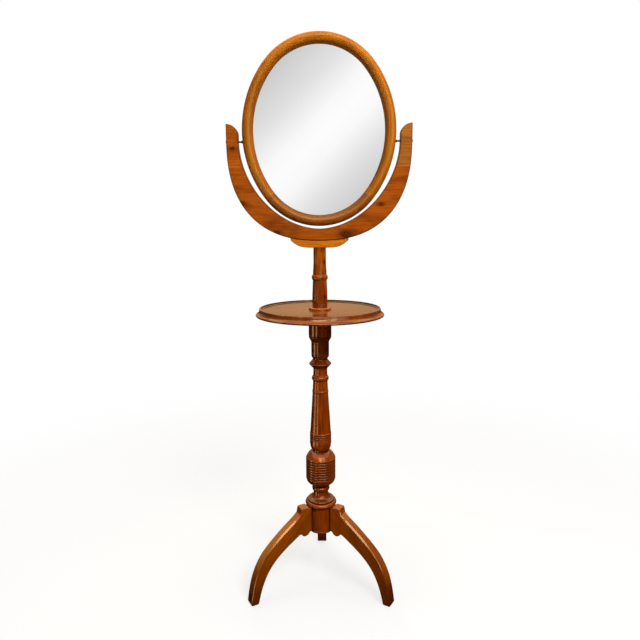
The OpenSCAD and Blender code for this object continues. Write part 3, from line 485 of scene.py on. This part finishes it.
# Each row: name, bearing in degrees, the rings' heart, how pale the back is rubbed (below
# nought, how dark shade is painted on it instead), and as a share of its length, how far down
# that reaches
for name, angle, heart, back_tone, until in (
        ("leg_front_left", 210, (-24, -52), 0.7, 0.8),
        ("leg_front_right", 330, (18, -44), -0.4, 0.7), ("leg_rear", 90, (30, -60), 0.6, 0.7)):
    upright = Matrix.Rotation(math.radians(angle), 4, "Z")
    slant = upright @ Vector((0.66, 0, -0.75)).normalized()
    width = upright @ Vector((0.75, 0, 0.66)).normalized()
    # Shade is painted low on each leg and where it meets the column's block
    leg_pine = wood("stained_pine_" + name, "#C0640C", "#924004", "#6C2802", slant, width,
                    (upright @ Vector((110, 0, 130))) + AXIS / MM, heart, ring=7,
                    contrast=0.4, streak=0.45, blotch=0.4, rough=0.3, coat=0.9, low_shade=0.6,
                    block_shade=1.0)
    # The leg's back is rubbed pale from below the knee down to until, fading over a quarter of
    # its length. Past that, and all along where back_tone is below nought, shade is painted on
    # it. Shade is painted round the knee block too.
    bare = [0.0] * 3 + [-0.4] * (knee_end - 3) + [0.0] * (len(leg_line) - knee_end)
    for i in range(len(back)):
        here = min(max((until - i / len(back)) / 0.25, -0.5), 1) * min((i + 1) / 6, 1)
        bare[knee_end + i] = here * back_tone if here > 0 else here
    board = sawn(leg_line, LEG_THICK, eases=leg_eases, rows=1, edge_shade=0.3, paled_and_shaded=bare)
    fit(name, board, Matrix.Translation(AXIS) @ upright @ Matrix.Rotation(math.pi / 2, 4, "X"),
        leg_pine, "leg_pine", "base", name)

# The dowels are inside the wood, so they keep their own shape and get bare beech
beech = wood("bare_beech_dowel", "#C9A77A", "#A98355", "#9A7446", (1, 0, 0), (0, 0, 1),
             (0, 0, 200), ring=2.0, contrast=0.3, rough=0.6, coat=0.0)
parts["leg_dowels"].material_slots[0].material = beech

# ------------------------------------------------------------------------------ column
# One turning of stained pine, from the block that takes the legs to the drum under the tray.
# Beads, ribs and reeds were cut on the lathe, and a skew chisel left a fine line beside each.
# Old polish has settled there, and shade is painted there too. Three flats on the block were
# planed for the legs.


def curved(z, high, start, end, shape="bowl", count=12):
    """Points of a turned quarter hollow or round, from radius start up to radius end."""
    points = []
    for i in range(count + 1):
        s, c = math.sin(math.pi / 2 * i / count), math.cos(math.pi / 2 * i / count)
        u, v = {"bowl": (s, 1 - c), "dome": (1 - c, s),
                "shoulder": ((1 - c + s) / 2, s)}[shape]
        points.append((start + (end - start) * u, z + high * v))
    return points


def bead(z, high, radius, bulge, count=16):
    """Points of a half-round bead on a radius, from the bottom up."""
    return [(radius + bulge * math.sin(math.pi * i / count),
             z + high * (1 - math.cos(math.pi * i / count)) / 2) for i in range(count + 1)]


def line_cut(z, radius, deep=0.8):
    """Points of a fine V cut into a radius."""
    return [(radius, z - deep), (radius - deep, z), (radius, z + deep)]


def lathe_tree():
    """Bends an outline round an arc: X is the radius and Y the height."""
    tree = bpy.data.node_groups.new("turned_or_moulded", "GeometryNodeTree")
    for label, kind in (("Outline", "Geometry"), ("Steps", "Int"), ("Start", "Float"),
                        ("Sweep", "Float"), ("Finish", "Material")):
        tree.interface.new_socket(label, in_out="INPUT", socket_type="NodeSocket" + kind)
    tree.interface.new_socket("Piece", in_out="OUTPUT", socket_type="NodeSocketGeometry")
    given = node(tree, "NodeGroupInput").outputs
    outline = node(tree, "GeometryNodeMeshToCurve", {0: given["Outline"]}).outputs[0]
    rows = node(tree, "ShaderNodeMath", {0: given["Steps"], 1: 1.0}, operation="ADD").outputs[0]
    straight = node(tree, "GeometryNodeResampleCurve", {
        "Curve": node(tree, "GeometryNodeCurvePrimitiveLine").outputs[0], "Count": rows})
    wall = node(tree, "GeometryNodeCurveToMesh", {
        "Curve": straight.outputs[0], "Profile Curve": outline, "Fill Caps": True}).outputs[0]
    at = node(tree, "ShaderNodeSeparateXYZ", {
        0: node(tree, "GeometryNodeInputPosition").outputs[0]}).outputs
    angle = node(tree, "ShaderNodeMath", {0: at["Z"], 1: given["Sweep"], 2: given["Start"]},
                 operation="MULTIPLY_ADD").outputs[0]
    east = node(tree, "ShaderNodeMath", {0: angle}, operation="COSINE").outputs[0]
    north = node(tree, "ShaderNodeMath", {0: angle}, operation="SINE").outputs[0]
    east = node(tree, "ShaderNodeMath", {0: at["X"], 1: east}, operation="MULTIPLY").outputs[0]
    north = node(tree, "ShaderNodeMath", {0: at["X"], 1: north}, operation="MULTIPLY").outputs[0]
    bent = node(tree, "ShaderNodeCombineXYZ", {"X": east, "Y": north, "Z": at["Y"]}).outputs[0]
    piece = node(tree, "GeometryNodeSetPosition", {"Geometry": wall, "Position": bent})
    piece = node(tree, "GeometryNodeMergeByDistance", {
        "Geometry": piece.outputs[0], "Distance": 1e-6})
    piece = node(tree, "GeometryNodeRealizeInstances", {"Geometry": piece.outputs[0]})
    piece = node(tree, "GeometryNodeSetMaterial", {
        "Geometry": piece.outputs[0], "Material": given["Finish"]})
    node(tree, "NodeGroupOutput", {"Piece": piece.outputs[0]})
    return tree


def plain_mesh(maker, tree, inputs):
    """Runs a Geometry Nodes tree on a maker object and gives its result as a plain mesh."""
    rule = maker.modifiers.new("rule", "NODES")
    rule.node_group = tree
    for item in tree.interface.items_tree:
        if item.in_out == "INPUT" and item.name in inputs:
            rule[item.identifier] = inputs[item.name]
    bpy.context.view_layer.update()
    made = bpy.data.meshes.new_from_object(
        maker.evaluated_get(bpy.context.evaluated_depsgraph_get()))
    maker.modifiers.remove(rule)
    bpy.data.objects.remove(maker)
    return made


LATHE = lathe_tree()


def turned_mesh(outline, finish, start=0.0, sweep=360.0, steps=144, closed=False, wax_and_shade=None):
    """An outline in mm, turned or moulded round an arc. Points that lie in grooves or hard
    beside a bead are marked dark, for old wax and painted shade, unless wax_and_shade gives the
    mark at each point. Extra points bound mm from the ends of a long side keep the mark close to
    where that side ends."""
    bound = 2.5
    if not closed and not wax_and_shade:
        spaced = []
        for a, b in zip(outline, outline[1:]):
            spaced.append(a)
            gap = math.dist(a, b)
            if gap > 6:
                spaced += [tuple(Vector(a).lerp(Vector(b), t))
                           for t in (bound / gap, 1 - bound / gap)]
        outline = spaced + outline[-1:]
    chain = bpy.data.meshes.new("outline")
    count = len(outline)
    chain.from_pydata([(r * MM, z * MM, 0) for r, z in outline],
                      [(i, (i + 1) % count) for i in range(count - (not closed))], [])
    # A groove is lower than the wood above and below it, a corner than the bead beside it
    marks = []
    for r, z in outline:
        above = max(q for q, h in outline if 0 <= h - z < 4.5)
        below = max(q for q, h in outline if 0 <= z - h < 4.5)
        beside = max(q for q, h in outline if abs(h - z) < 2.2)
        marks.append(min(max((min(above, below) - r - 0.05) / 0.45,
                             0.7 * min((beside - r - 0.4) / 2, 1), 0), 1))
    wax_and_shade = wax_and_shade or ([0.0] * count if closed else marks)
    mark = chain.attributes.new("groove", "FLOAT", "POINT")
    mark.data.foreach_set("value", wax_and_shade)
    maker = bpy.data.objects.new("outline", chain)
    bpy.context.scene.collection.objects.link(maker)
    mesh = plain_mesh(maker, LATHE, {
        "Steps": steps, "Start": math.radians(start), "Sweep": math.radians(sweep),
        "Finish": finish})
    shape = bmesh.new()
    shape.from_mesh(mesh)
    bmesh.ops.recalc_face_normals(shape, faces=shape.faces)
    shape.to_mesh(mesh)
    shape.free()
    return mesh


turned_pine = wood("dark_stained_pine_turned", "#B45208", "#8E3606", "#681F02", (0, 0, 1),
                   (1, 0, 0), (0, AXIS_Y, 400), heart=(9, -30), ring=6, contrast=0.6,
                   streak=0.5, blotch=0.5, rough=0.25, coat=0.62, tooling=0.2)
# Radius and height of each point in mm, from the foot up: the block, the base's rings, the
# ribbed barrel, the reeded taper, its beads, the double cone and the drum
column_line = (
    [(0, 172), (34, 172)] + curved(172, 3, 35, 38)
    + line_cut(178, 38, 0.7) + [(38, 254)] + curved(255, 3, 38.2, 46.5)
    + curved(258, 9, 46.5, 40.2, "dome") + [(39.4, 267)]
    + bead(267.4, 5.4, 36.25, 3.25) + [(33.6, 273)]
    + curved(273.6, 16.4, 33, 22) + bead(297, 14, 22, 4) + [(22, 311.4), (22.5, 317.6)]
    + curved(318, 16, 22.5, 42.2)
    + [p for k in range(9) for p in bead(334 + 68 * k / 9, 68 / 9, 42.2, 1.6, 10)[1:]]
    + [(42.0, 402.4)] + curved(402.8, 19.2, 42.4, 24.5, "shoulder") + [(24.2, 425.6)]
    + curved(426, 17, 24.5, 30.5) + [(31.5, 444), (31.5, 455.4)]
    + [p for k in range(4) for p in bead(456 + 5.5 * k, 5.5, 30.5, 1.0, 10)[1:]]
    + [(30.2, 478.4), (22.8, 597.4)] + bead(598, 8, 22.3, 1.2, 12) + [(22.2, 606.6)]
    + [(21, 634.4)] + bead(635, 14, 21, 3.5) + [(20.6, 649.6), (20, 660.5), (20.3, 671.4)]
    + [(30.6, 682.6)] + bead(683, 4, 30.6, 1.4, 10) + [(30.4, 687.4), (21.4, 697.6)]
    + [(21.2, 698.2)] + curved(702, 10, 21.2, 25.5) + line_cut(716, 25.5, 0.5)
    + [(25.5, 749.6), (31.5, 761)] + [(32.5, 763)] + line_cut(766.2, 32.5, 1.2)
    + [(32.5, 826), (0, 826)])
column_mesh = turned_mesh(column_line, turned_pine, steps=192)
blank = bpy.data.objects.new("column_blank", column_mesh)
bpy.context.scene.collection.objects.link(blank)
# Three flats for the legs, cut as wide as a leg and up to just under the big ring
housing = bmesh.new()
for angle in (210, 330, 90):
    bmesh.ops.create_cube(housing, size=1.0, matrix=(
        Matrix.Rotation(math.radians(angle), 4, "Z")
        @ Matrix.Translation(Vector((BLOCK_FLAT + 20, 0, 211)) * MM)
        @ Matrix.Diagonal(Vector((40, LEG_THICK + 0.2, 84.4)) * MM).to_4x4()))
cutter_mesh = bpy.data.meshes.new("housing")
housing.to_mesh(cutter_mesh)
housing.free()
cutter = bpy.data.objects.new("housing", cutter_mesh)
bpy.context.scene.collection.objects.link(cutter)
cut = blank.modifiers.new("housing", "BOOLEAN")
cut.operation, cut.solver, cut.object = "DIFFERENCE", "EXACT", cutter
bpy.context.view_layer.update()
column_mesh = bpy.data.meshes.new_from_object(
    blank.evaluated_get(bpy.context.evaluated_depsgraph_get()))
for spent in (blank, cutter):
    bpy.data.objects.remove(spent)
fit("column", column_mesh, Matrix.Translation(AXIS), turned_pine, "turned_pine", "base",
    "column")

# -------------------------------------------------------------------------------- tray
# A round pine tray, dished on the lathe's faceplate from a board 22 mm thick. It is screwed
# to the drum, and a low turned collar covers the screws and steadies the post's foot.
tray_pine = wood("stained_pine_tray", "#8C4208", "#6C2A02", "#561F02", (1, 0, 0), (0, 1, 0),
                 (0, AXIS_Y, 841), heart=(-60, -38), ring=7, contrast=0.5, streak=0.5,
                 blotch=0.35, rough=0.25, coat=0.9, gloss=0.15)
# From the underside's middle: the thin round edge, the hollow up to the lip, the lip and the
# dish
TRAY, FLOOR_Z, LIP_Z, TRAY_R, LIP_R, DISH_R = 826, 843, 848, 182, 172, 167.0
tray_line = ([(0, TRAY), (TRAY_R - 4, TRAY)]
             + [tuple(p) for p in arc((TRAY_R - 3, TRAY + 3), 3, -80, 60, 10)]
             + [(LIP_R + (TRAY_R - 1.5 - LIP_R) * (1 - math.sin(a)),
                 TRAY + 6 + 13 * (1 - math.cos(a)))
                for a in (math.pi / 2 * i / 14 for i in range(15))]
             + [(LIP_R - 0.4, LIP_Z - 2.4), (LIP_R - 0.4, LIP_Z - 1.2)]
             + [tuple(p) for p in arc((LIP_R - 1.6, LIP_Z - 1.2), 1.2, 0, 90, 5)][1:]
             + [(DISH_R, LIP_Z)]
             + [tuple(p) for p in arc((DISH_R - 3.4, FLOOR_Z + 3), 3, 12, -90, 8)]
             + [(0, FLOOR_Z)])
# Shade is painted where the dish meets its wall, in the hollow under the lip and on the edge's
# lower half
tray_shade = [0.6 if r > LIP_R - 2 and z < TRAY + 4
             else 0.25 if TRAY + 12 < z < LIP_Z - 2 and r > LIP_R - 4
             else 0.75 if DISH_R - 5 < r < DISH_R else 0 for r, z in tray_line]
fit("tray", turned_mesh(tray_line, tray_pine, steps=256, wax_and_shade=tray_shade),
    Matrix.Translation(AXIS), tray_pine, "tray_pine", "base", "tray")
collar_pine = wood("stained_pine_collar", "#B4641C", "#8E4008", "#7A3204", (0, 0, 1),
                   (1, 0, 0), (0, AXIS_Y, 841), ring=7, contrast=0.5, rough=0.25, coat=0.7)
COLLAR_BORE, COLLAR_R, COLLAR_HIGH = 12.7, 32, 6
collar_line = ([(COLLAR_BORE, FLOOR_Z), (COLLAR_R - 0.4, FLOOR_Z), (COLLAR_R, FLOOR_Z + 0.6)]
               + [tuple(p) for p in arc((COLLAR_R - 3, FLOOR_Z + 3), 3, 0, 90, 10)]
               + [(COLLAR_BORE, FLOOR_Z + COLLAR_HIGH)])
fit("tray_collar", turned_mesh(collar_line, collar_pine, closed=True, steps=96),
    Matrix.Translation(AXIS), collar_pine, "turned_pine", "base", "tray_collar")

# Blackened iron: sooty scale with a dull, faintly hammered sheen, on every screw and nail
iron = bpy.data.materials.new("blackened_iron")
iron.use_nodes = True
tree = iron.node_tree
body = tree.nodes["Principled BSDF"]
spot = node(tree, "ShaderNodeTexCoord").outputs["Object"]
scale = node(tree, "ShaderNodeTexNoise", {"Vector": spot, "Scale": 600.0, "Detail": 3.0})
tone = node(tree, "ShaderNodeValToRGB", {0: scale.outputs[0]}, stops=[
    (0.3, "#0C0908"), (0.6, "#1A1411"), (0.8, "#30231A")])
tree.links.new(tone.outputs[0], body.inputs["Base Color"])
rough = node(tree, "ShaderNodeMapRange", {
    "Value": scale.outputs[0], "To Min": 0.4, "To Max": 0.65})
tree.links.new(rough.outputs[0], body.inputs["Roughness"])
hammered = node(tree, "ShaderNodeBump", {
    "Strength": 0.4, "Distance": 0.0002, "Height": scale.outputs[0]})
tree.links.new(hammered.outputs[0], body.inputs["Normal"])
body.inputs["Metallic"].default_value = 0.6
for name in ("tray_screws", "cleat_screws", "back_sprigs"):
    parts[name].material_slots[0].material = iron

# -------------------------------------------------------------------------------- post
# The turned post stands in the column's socket on a pin and can be turned by hand. Its
# tenon goes up through the cleat into the yoke. Fine lines were cut near each end, and a
# bead stands half way up.
POST, POST_TOP, PIN_END, PIN_R, TENON_R, TENON_END = 849.2, 1017.2, 796, 12.5, 9, 1050
post_line = ([(0, PIN_END), (PIN_R - 1, PIN_END), (PIN_R, PIN_END + 1), (PIN_R, POST),
              (20.7, POST), (21.5, 850)]
             + line_cut(854, 21.5, 0.6) + line_cut(860, 21.5, 1.0)
             + [(21.5, 877), (19.6, 925.8)] + bead(926.4, 14.6, 19.5, 3) + [(19.3, 941.6)]
             + [(17.5, 974.2)] + line_cut(1007.6, 17.5, 0.9) + line_cut(1012, 17.5, 0.5)
             + [(17.5, POST_TOP), (TENON_R, POST_TOP), (TENON_R, TENON_END), (0, TENON_END)])
post_pine = wood("dark_stained_pine_post", "#BA5C06", "#762404", "#4A0E02", (0, 0, 1),
                 (1, 0, 0), (0, AXIS_Y, 930), heart=(5, -14), ring=6, contrast=0.6,
                 streak=0.6, blotch=0.6, rough=0.3, coat=0.45, tooling=0.2,
                 knots=((48, 16, 5), (-50, 14, 3), (22, 18, 3)))
fit("post", turned_mesh(post_line, post_pine, steps=96), Matrix.Translation(AXIS), post_pine,
    "turned_pine", "swivel", "post")

# -------------------------------------------------------------------------------- yoke
# A U sawn from 25 mm honey-coloured pine board with the grain level. The board was too
# narrow for the whole U, so the tips of both arms are glued on, and a pale line shows where.
# A lighter block, the cleat, is screwed on below and takes the post's tenon.
# INNER and OUTER are the U's lines: half width, drop below the pivots and how square. The
# glue joints lie GLUE below the pivots, and the tips end TIP above them.
PIVOT_Z, YOKE_THICK, YOKE_EASE = 1302.2, 25, 2.0
INNER, OUTER = (219.0, 233.0, 1.87), (251.0, 266.0, 2.42)
GLUE, TIP, TIP_ROUND, ARM = 67.0, 46.0, 28.0, 32.0
on_yoke = (Matrix.Translation(AXIS + Vector((0, 0, PIVOT_Z)) * MM)
           @ Matrix.Rotation(math.pi / 2, 4, "X"))


def drop_line(half, drop, power, start, end, count):
    """Points of a stretched circle under the pivots, between two turns in degrees."""
    points = []
    for i in range(count + 1):
        turn = math.radians(start + (end - start) * i / count)
        c, s = math.cos(turn), max(math.sin(turn), 0.0)
        points.append((-math.copysign(half * abs(c) ** (2 / power), c),
                       -drop * s ** (2 / power)))
    return points


def turn_at(level, drop, power):
    """The turn at which such a line lies level mm below the pivots."""
    return math.degrees(math.asin((level / drop) ** (power / 2)))


glue_in, glue_out = turn_at(GLUE, *INNER[1:]), turn_at(GLUE, *OUTER[1:])
yoke_line = (drop_line(*OUTER, glue_out, 180 - glue_out, 80)
             + drop_line(*INNER, 180 - glue_in, glue_in, 80))
yoke_eases = [YOKE_EASE] * len(yoke_line)
yoke_eases[80] = yoke_eases[-1] = 0.0
yoke_pine = wood("honey_pine_yoke", "#A85406", "#803402", "#561E02", (1, 0, 0), (0, 0, 1),
                 (0, AXIS_Y, PIVOT_Z), heart=(-150, -26), ring=11, contrast=0.3, streak=0.38,
                 blotch=0.65, rough=0.36, coat=0.12,
                 knots=((-212, -165, 7), (168, -168, 6), (73, -249, 12), (-118, -244, 7)))
fit("yoke_board", sawn(yoke_line, YOKE_THICK, eases=yoke_eases), on_yoke, yoke_pine,
    "yoke_pine", "swivel", "yoke_board")
horn_line = (drop_line(*OUTER, 0, glue_out, 24) + drop_line(*INNER, glue_in, 0, 24)
             + [(-(OUTER[0] - ARM * math.cos(a)), TIP - TIP_ROUND * (1 - math.sin(a)))
                for a in (math.pi / 2 * i / 14 for i in range(15))])
horn_eases = [YOKE_EASE] * len(horn_line)
horn_eases[24] = 0.0
# The right tip's paler, pinker colours are a painted sheen, the light from the right in its
# varnish
for name, side, soft, hard, knots in (
        ("yoke_horn_left", 1, "#B45C08", "#742C04", ((-234, -18, 6),)),
        ("yoke_horn_right", -1, "#A46826", "#824212", ())):
    horn_pine = wood("honey_pine_" + name, soft, hard, "#6A2C06", (1, 0, 0), (0, 0, 1),
                     (0, AXIS_Y, PIVOT_Z), heart=(-40 * side, -30), ring=8, contrast=0.6,
                     streak=0.4, blotch=0.45, rough=0.36, coat=0.12, knots=knots,
                     glue=(-GLUE, 1.6))
    fit(name, sawn([(x * side, y) for x, y in horn_line], YOKE_THICK, eases=horn_eases),
        on_yoke, horn_pine, "yoke_pine", "swivel", name)

# The cleat fits the yoke's lower line, is flat over the post and sweeps up to thin ends
CLEAT, CLEAT_SEAT, CLEAT_HALF, CLEAT_BASE, CLEAT_END = 38, 20.5, 80, -285.0, 5
upper = [(x, -OUTER[1] * (1 - (x / OUTER[0]) ** OUTER[2]) ** (1 / OUTER[2]))
         for x in range(0, CLEAT_HALF + 1, 5)]
sweep_up = upper[-1][1] - CLEAT_END - CLEAT_BASE
lower = [(x, CLEAT_BASE + sweep_up
          * (max(0, x - CLEAT_SEAT) / (CLEAT_HALF - CLEAT_SEAT)) ** 3) for x, _ in upper]
cleat_line = ([(-x, y) for x, y in upper][:0:-1] + upper + lower[::-1]
              + [(-x, y) for x, y in lower][1:])
cleat_pine = wood("golden_pine_cleat", "#D27A0C", "#AC5C06", "#8E4804", (1, 0, 0), (0, 0, 1),
                  (0, AXIS_Y, PIVOT_Z - 270), heart=(-20, -60), ring=9, contrast=0.5,
                  streak=0.4, blotch=0.3, rough=0.36, coat=0.15)
fit("yoke_cleat", sawn(cleat_line, CLEAT, ease=1.2), on_yoke, cleat_pine,
    "yoke_pine", "swivel", "yoke_cleat")

# ------------------------------------------------------------------------------ pivots
# Black iron: a round-headed pin through each arm turns in a bush with a flared lip, let
# into the frame's side.
# The bush's lip sits SPOT mm out from the middle, and the pin's head on the yoke's arm
SPOT, SHANK_R, HEAD_R, BORE_R, BUSH_R, FLARE_R = 205.54, 2.3, 5, 2.38, 4, 6.25
for side, label in ((1, "right"), (-1, "left")):
    pin_line = ([(0, SPOT - 14), (SHANK_R - 1, SPOT - 14), (SHANK_R, SPOT - 13),
                 (SHANK_R, OUTER[0] - 0.2), (HEAD_R, OUTER[0] - 0.1)]
                + curved(OUTER[0], 2.6, HEAD_R, 0, "dome"))
    bush_line = ([(BORE_R, SPOT - 18), (BUSH_R, SPOT - 18), (BUSH_R, SPOT), (FLARE_R, SPOT),
                  (FLARE_R, SPOT + 1)] + curved(SPOT + 1, 4, FLARE_R, 3.4)[1:]
                 + [(BORE_R, SPOT + 5)])
    facing = on_yoke @ Matrix.Rotation(math.pi / 2 * side, 4, "Y")
    fit("pivot_screw_" + label, turned_mesh(pin_line, iron, steps=48), facing, iron,
        "black_iron", "swivel", "pivot_screw_" + label)
    fit("pivot_bush_" + label, turned_mesh(bush_line, iron, closed=True, steps=48), facing,
        iron, "black_iron", "mirror", "pivot_bush_" + label)

# ------------------------------------------------------------------------ mirror frame
# An oval of four pieces of pine, joined end to end and moulded to one broad round with a
# bevel at the glass. The grain is level in the top and bottom pieces and upright in the
# side pieces.
# The oval is drawn with four arcs that run into each other, and its pieces meet there. The
# moulding's line holds how far in from the outer edge and how far out to the front, in mm.
HALF_WIDE, HALF_HIGH, END_R, PIVOT_DROP = 208.0, 252.0, 185.0, 26.0
END_C = HALF_HIGH - END_R
STEEP = HALF_WIDE - END_R
SIDE_C = (END_C ** 2 - STEEP ** 2) / (2 * STEEP)
SIDE_R = HALF_WIDE + SIDE_C
ARC_TURN = math.degrees(math.atan2(END_C, SIDE_C))
mould_line = [(0.6, -7.5), (0, -6.9), (0, 7.5)]
mould_line += [(12.6 * (1 - math.cos(a)), 7.5 + 9 * math.sin(a))
               for a in (math.pi / 2 * i / 18 for i in range(1, 19))]
mould_line += [(12.6 + 11.4 * math.sin(a), 16.5 - 4.5 * (1 - math.cos(a)))
               for a in (math.pi / 2 * i / 18 for i in range(1, 18))]
mould_line += [(23.9, 11.4), (24.4, 10.4), (29.5, 5.0), (30, 4.2), (30, 2.5), (23, 2.5),
               (23, -7.5)]
CROWN, SHEEN_SPLIT = 14.5, 0.45
on_frame = on_yoke @ Matrix.Translation(Vector((0, PIVOT_DROP, 0)) * MM)
# The bottom piece's darker colours are painted shade, as it faces the floor
for name, soft, hard, centre, middle, heart in (
        ("frame_top", "#AC650F", "#854206", (0, END_C), 90, (150, -70)),
        ("frame_bottom", "#824814", "#60300A", (0, -END_C), 270, (-310, -60)),
        ("frame_left", "#A6600E", "#7E3C05", (SIDE_C, 0), 180, (-240, -60)),
        ("frame_right", "#A6600E", "#7E3C05", (-SIDE_C, 0), 0, (150, -60))):
    if middle % 180:
        radius, half, along, across = END_R, 90 - ARC_TURN, (1, 0, 0), (0, 0, 1)
    else:
        radius, half, along, across = SIDE_R, ARC_TURN, (0, 0, 1), (1, 0, 0)
    frame_pine = wood("brown_pine_" + name, soft, hard, "#5E2A02", along, across,
                      (0, AXIS_Y, PIVOT_Z + PIVOT_DROP), heart, ring=8, contrast=0.2,
                      streak=0.2, blotch=0.3, rough=0.36, coat=0.18, gloss=0.3)
    section = [(radius - inset, front) for inset, front in mould_line]
    mesh = turned_mesh(section, frame_pine, middle - half, 2 * half, 96, closed=True)
    # A pale band is painted along the crown as its broad highlight, some CROWN mm in from the
    # outer edge. It lies nearer the glass at the left and below than at the top and right, as
    # the light falls from the upper right. Shade is painted on either side of it.
    for vert, mark in zip(mesh.vertices, mesh.attributes["groove"].data):
        x, y, front = vert.co / MM
        inset = radius - math.hypot(x, y)
        turn = math.atan2(y + centre[1], x + centre[0])
        off = inset - CROWN + 3.5 * math.cos(turn) + 4 * math.sin(turn)
        mark.value = (min(abs(off) / 16, 1) - SHEEN_SPLIT) * (front > 4)
    place = on_frame @ Matrix.Translation(Vector((*centre, 0)) * MM)
    fit(name, mesh, place, frame_pine, "frame_pine", "mirror", name)

# ---------------------------------------------------------------------- glass and back
# A silvered plate 4 mm thick lies in the rebate behind the bevel, backed by a thin bare
# board that headless nails hold. The silver is even, and slightly green in its depth.
# Its roughness is 0, so that it mirrors sharply.
silver = bpy.data.materials.new("silvered_glass")
silver.use_nodes = True
tree = silver.node_tree
body = tree.nodes["Principled BSDF"]
spot = node(tree, "ShaderNodeTexCoord").outputs["Object"]
haze = node(tree, "ShaderNodeTexNoise", {"Vector": spot, "Scale": 9.0, "Detail": 2.0})
tone = node(tree, "ShaderNodeValToRGB", {0: haze.outputs[0]}, stops=[
    (0.3, "#FAFBFA"), (0.7, "#FDFDFD")])
tree.links.new(tone.outputs[0], body.inputs["Base Color"])
body.inputs["Metallic"].default_value = 1.0
body.inputs["Roughness"].default_value = 0.0
parts["mirror_glass"].material_slots[0].material = silver
deal = wood("bare_deal_back", "#B9966A", "#8F6C42", "#7D5C38", (0, 0, 1), (1, 0, 0),
            (0, AXIS_Y, PIVOT_Z), heart=(-30, -40), ring=6.0, contrast=0.6, rough=0.6,
            coat=0.0, blotch=0.3)
parts["back_board"].material_slots[0].material = deal
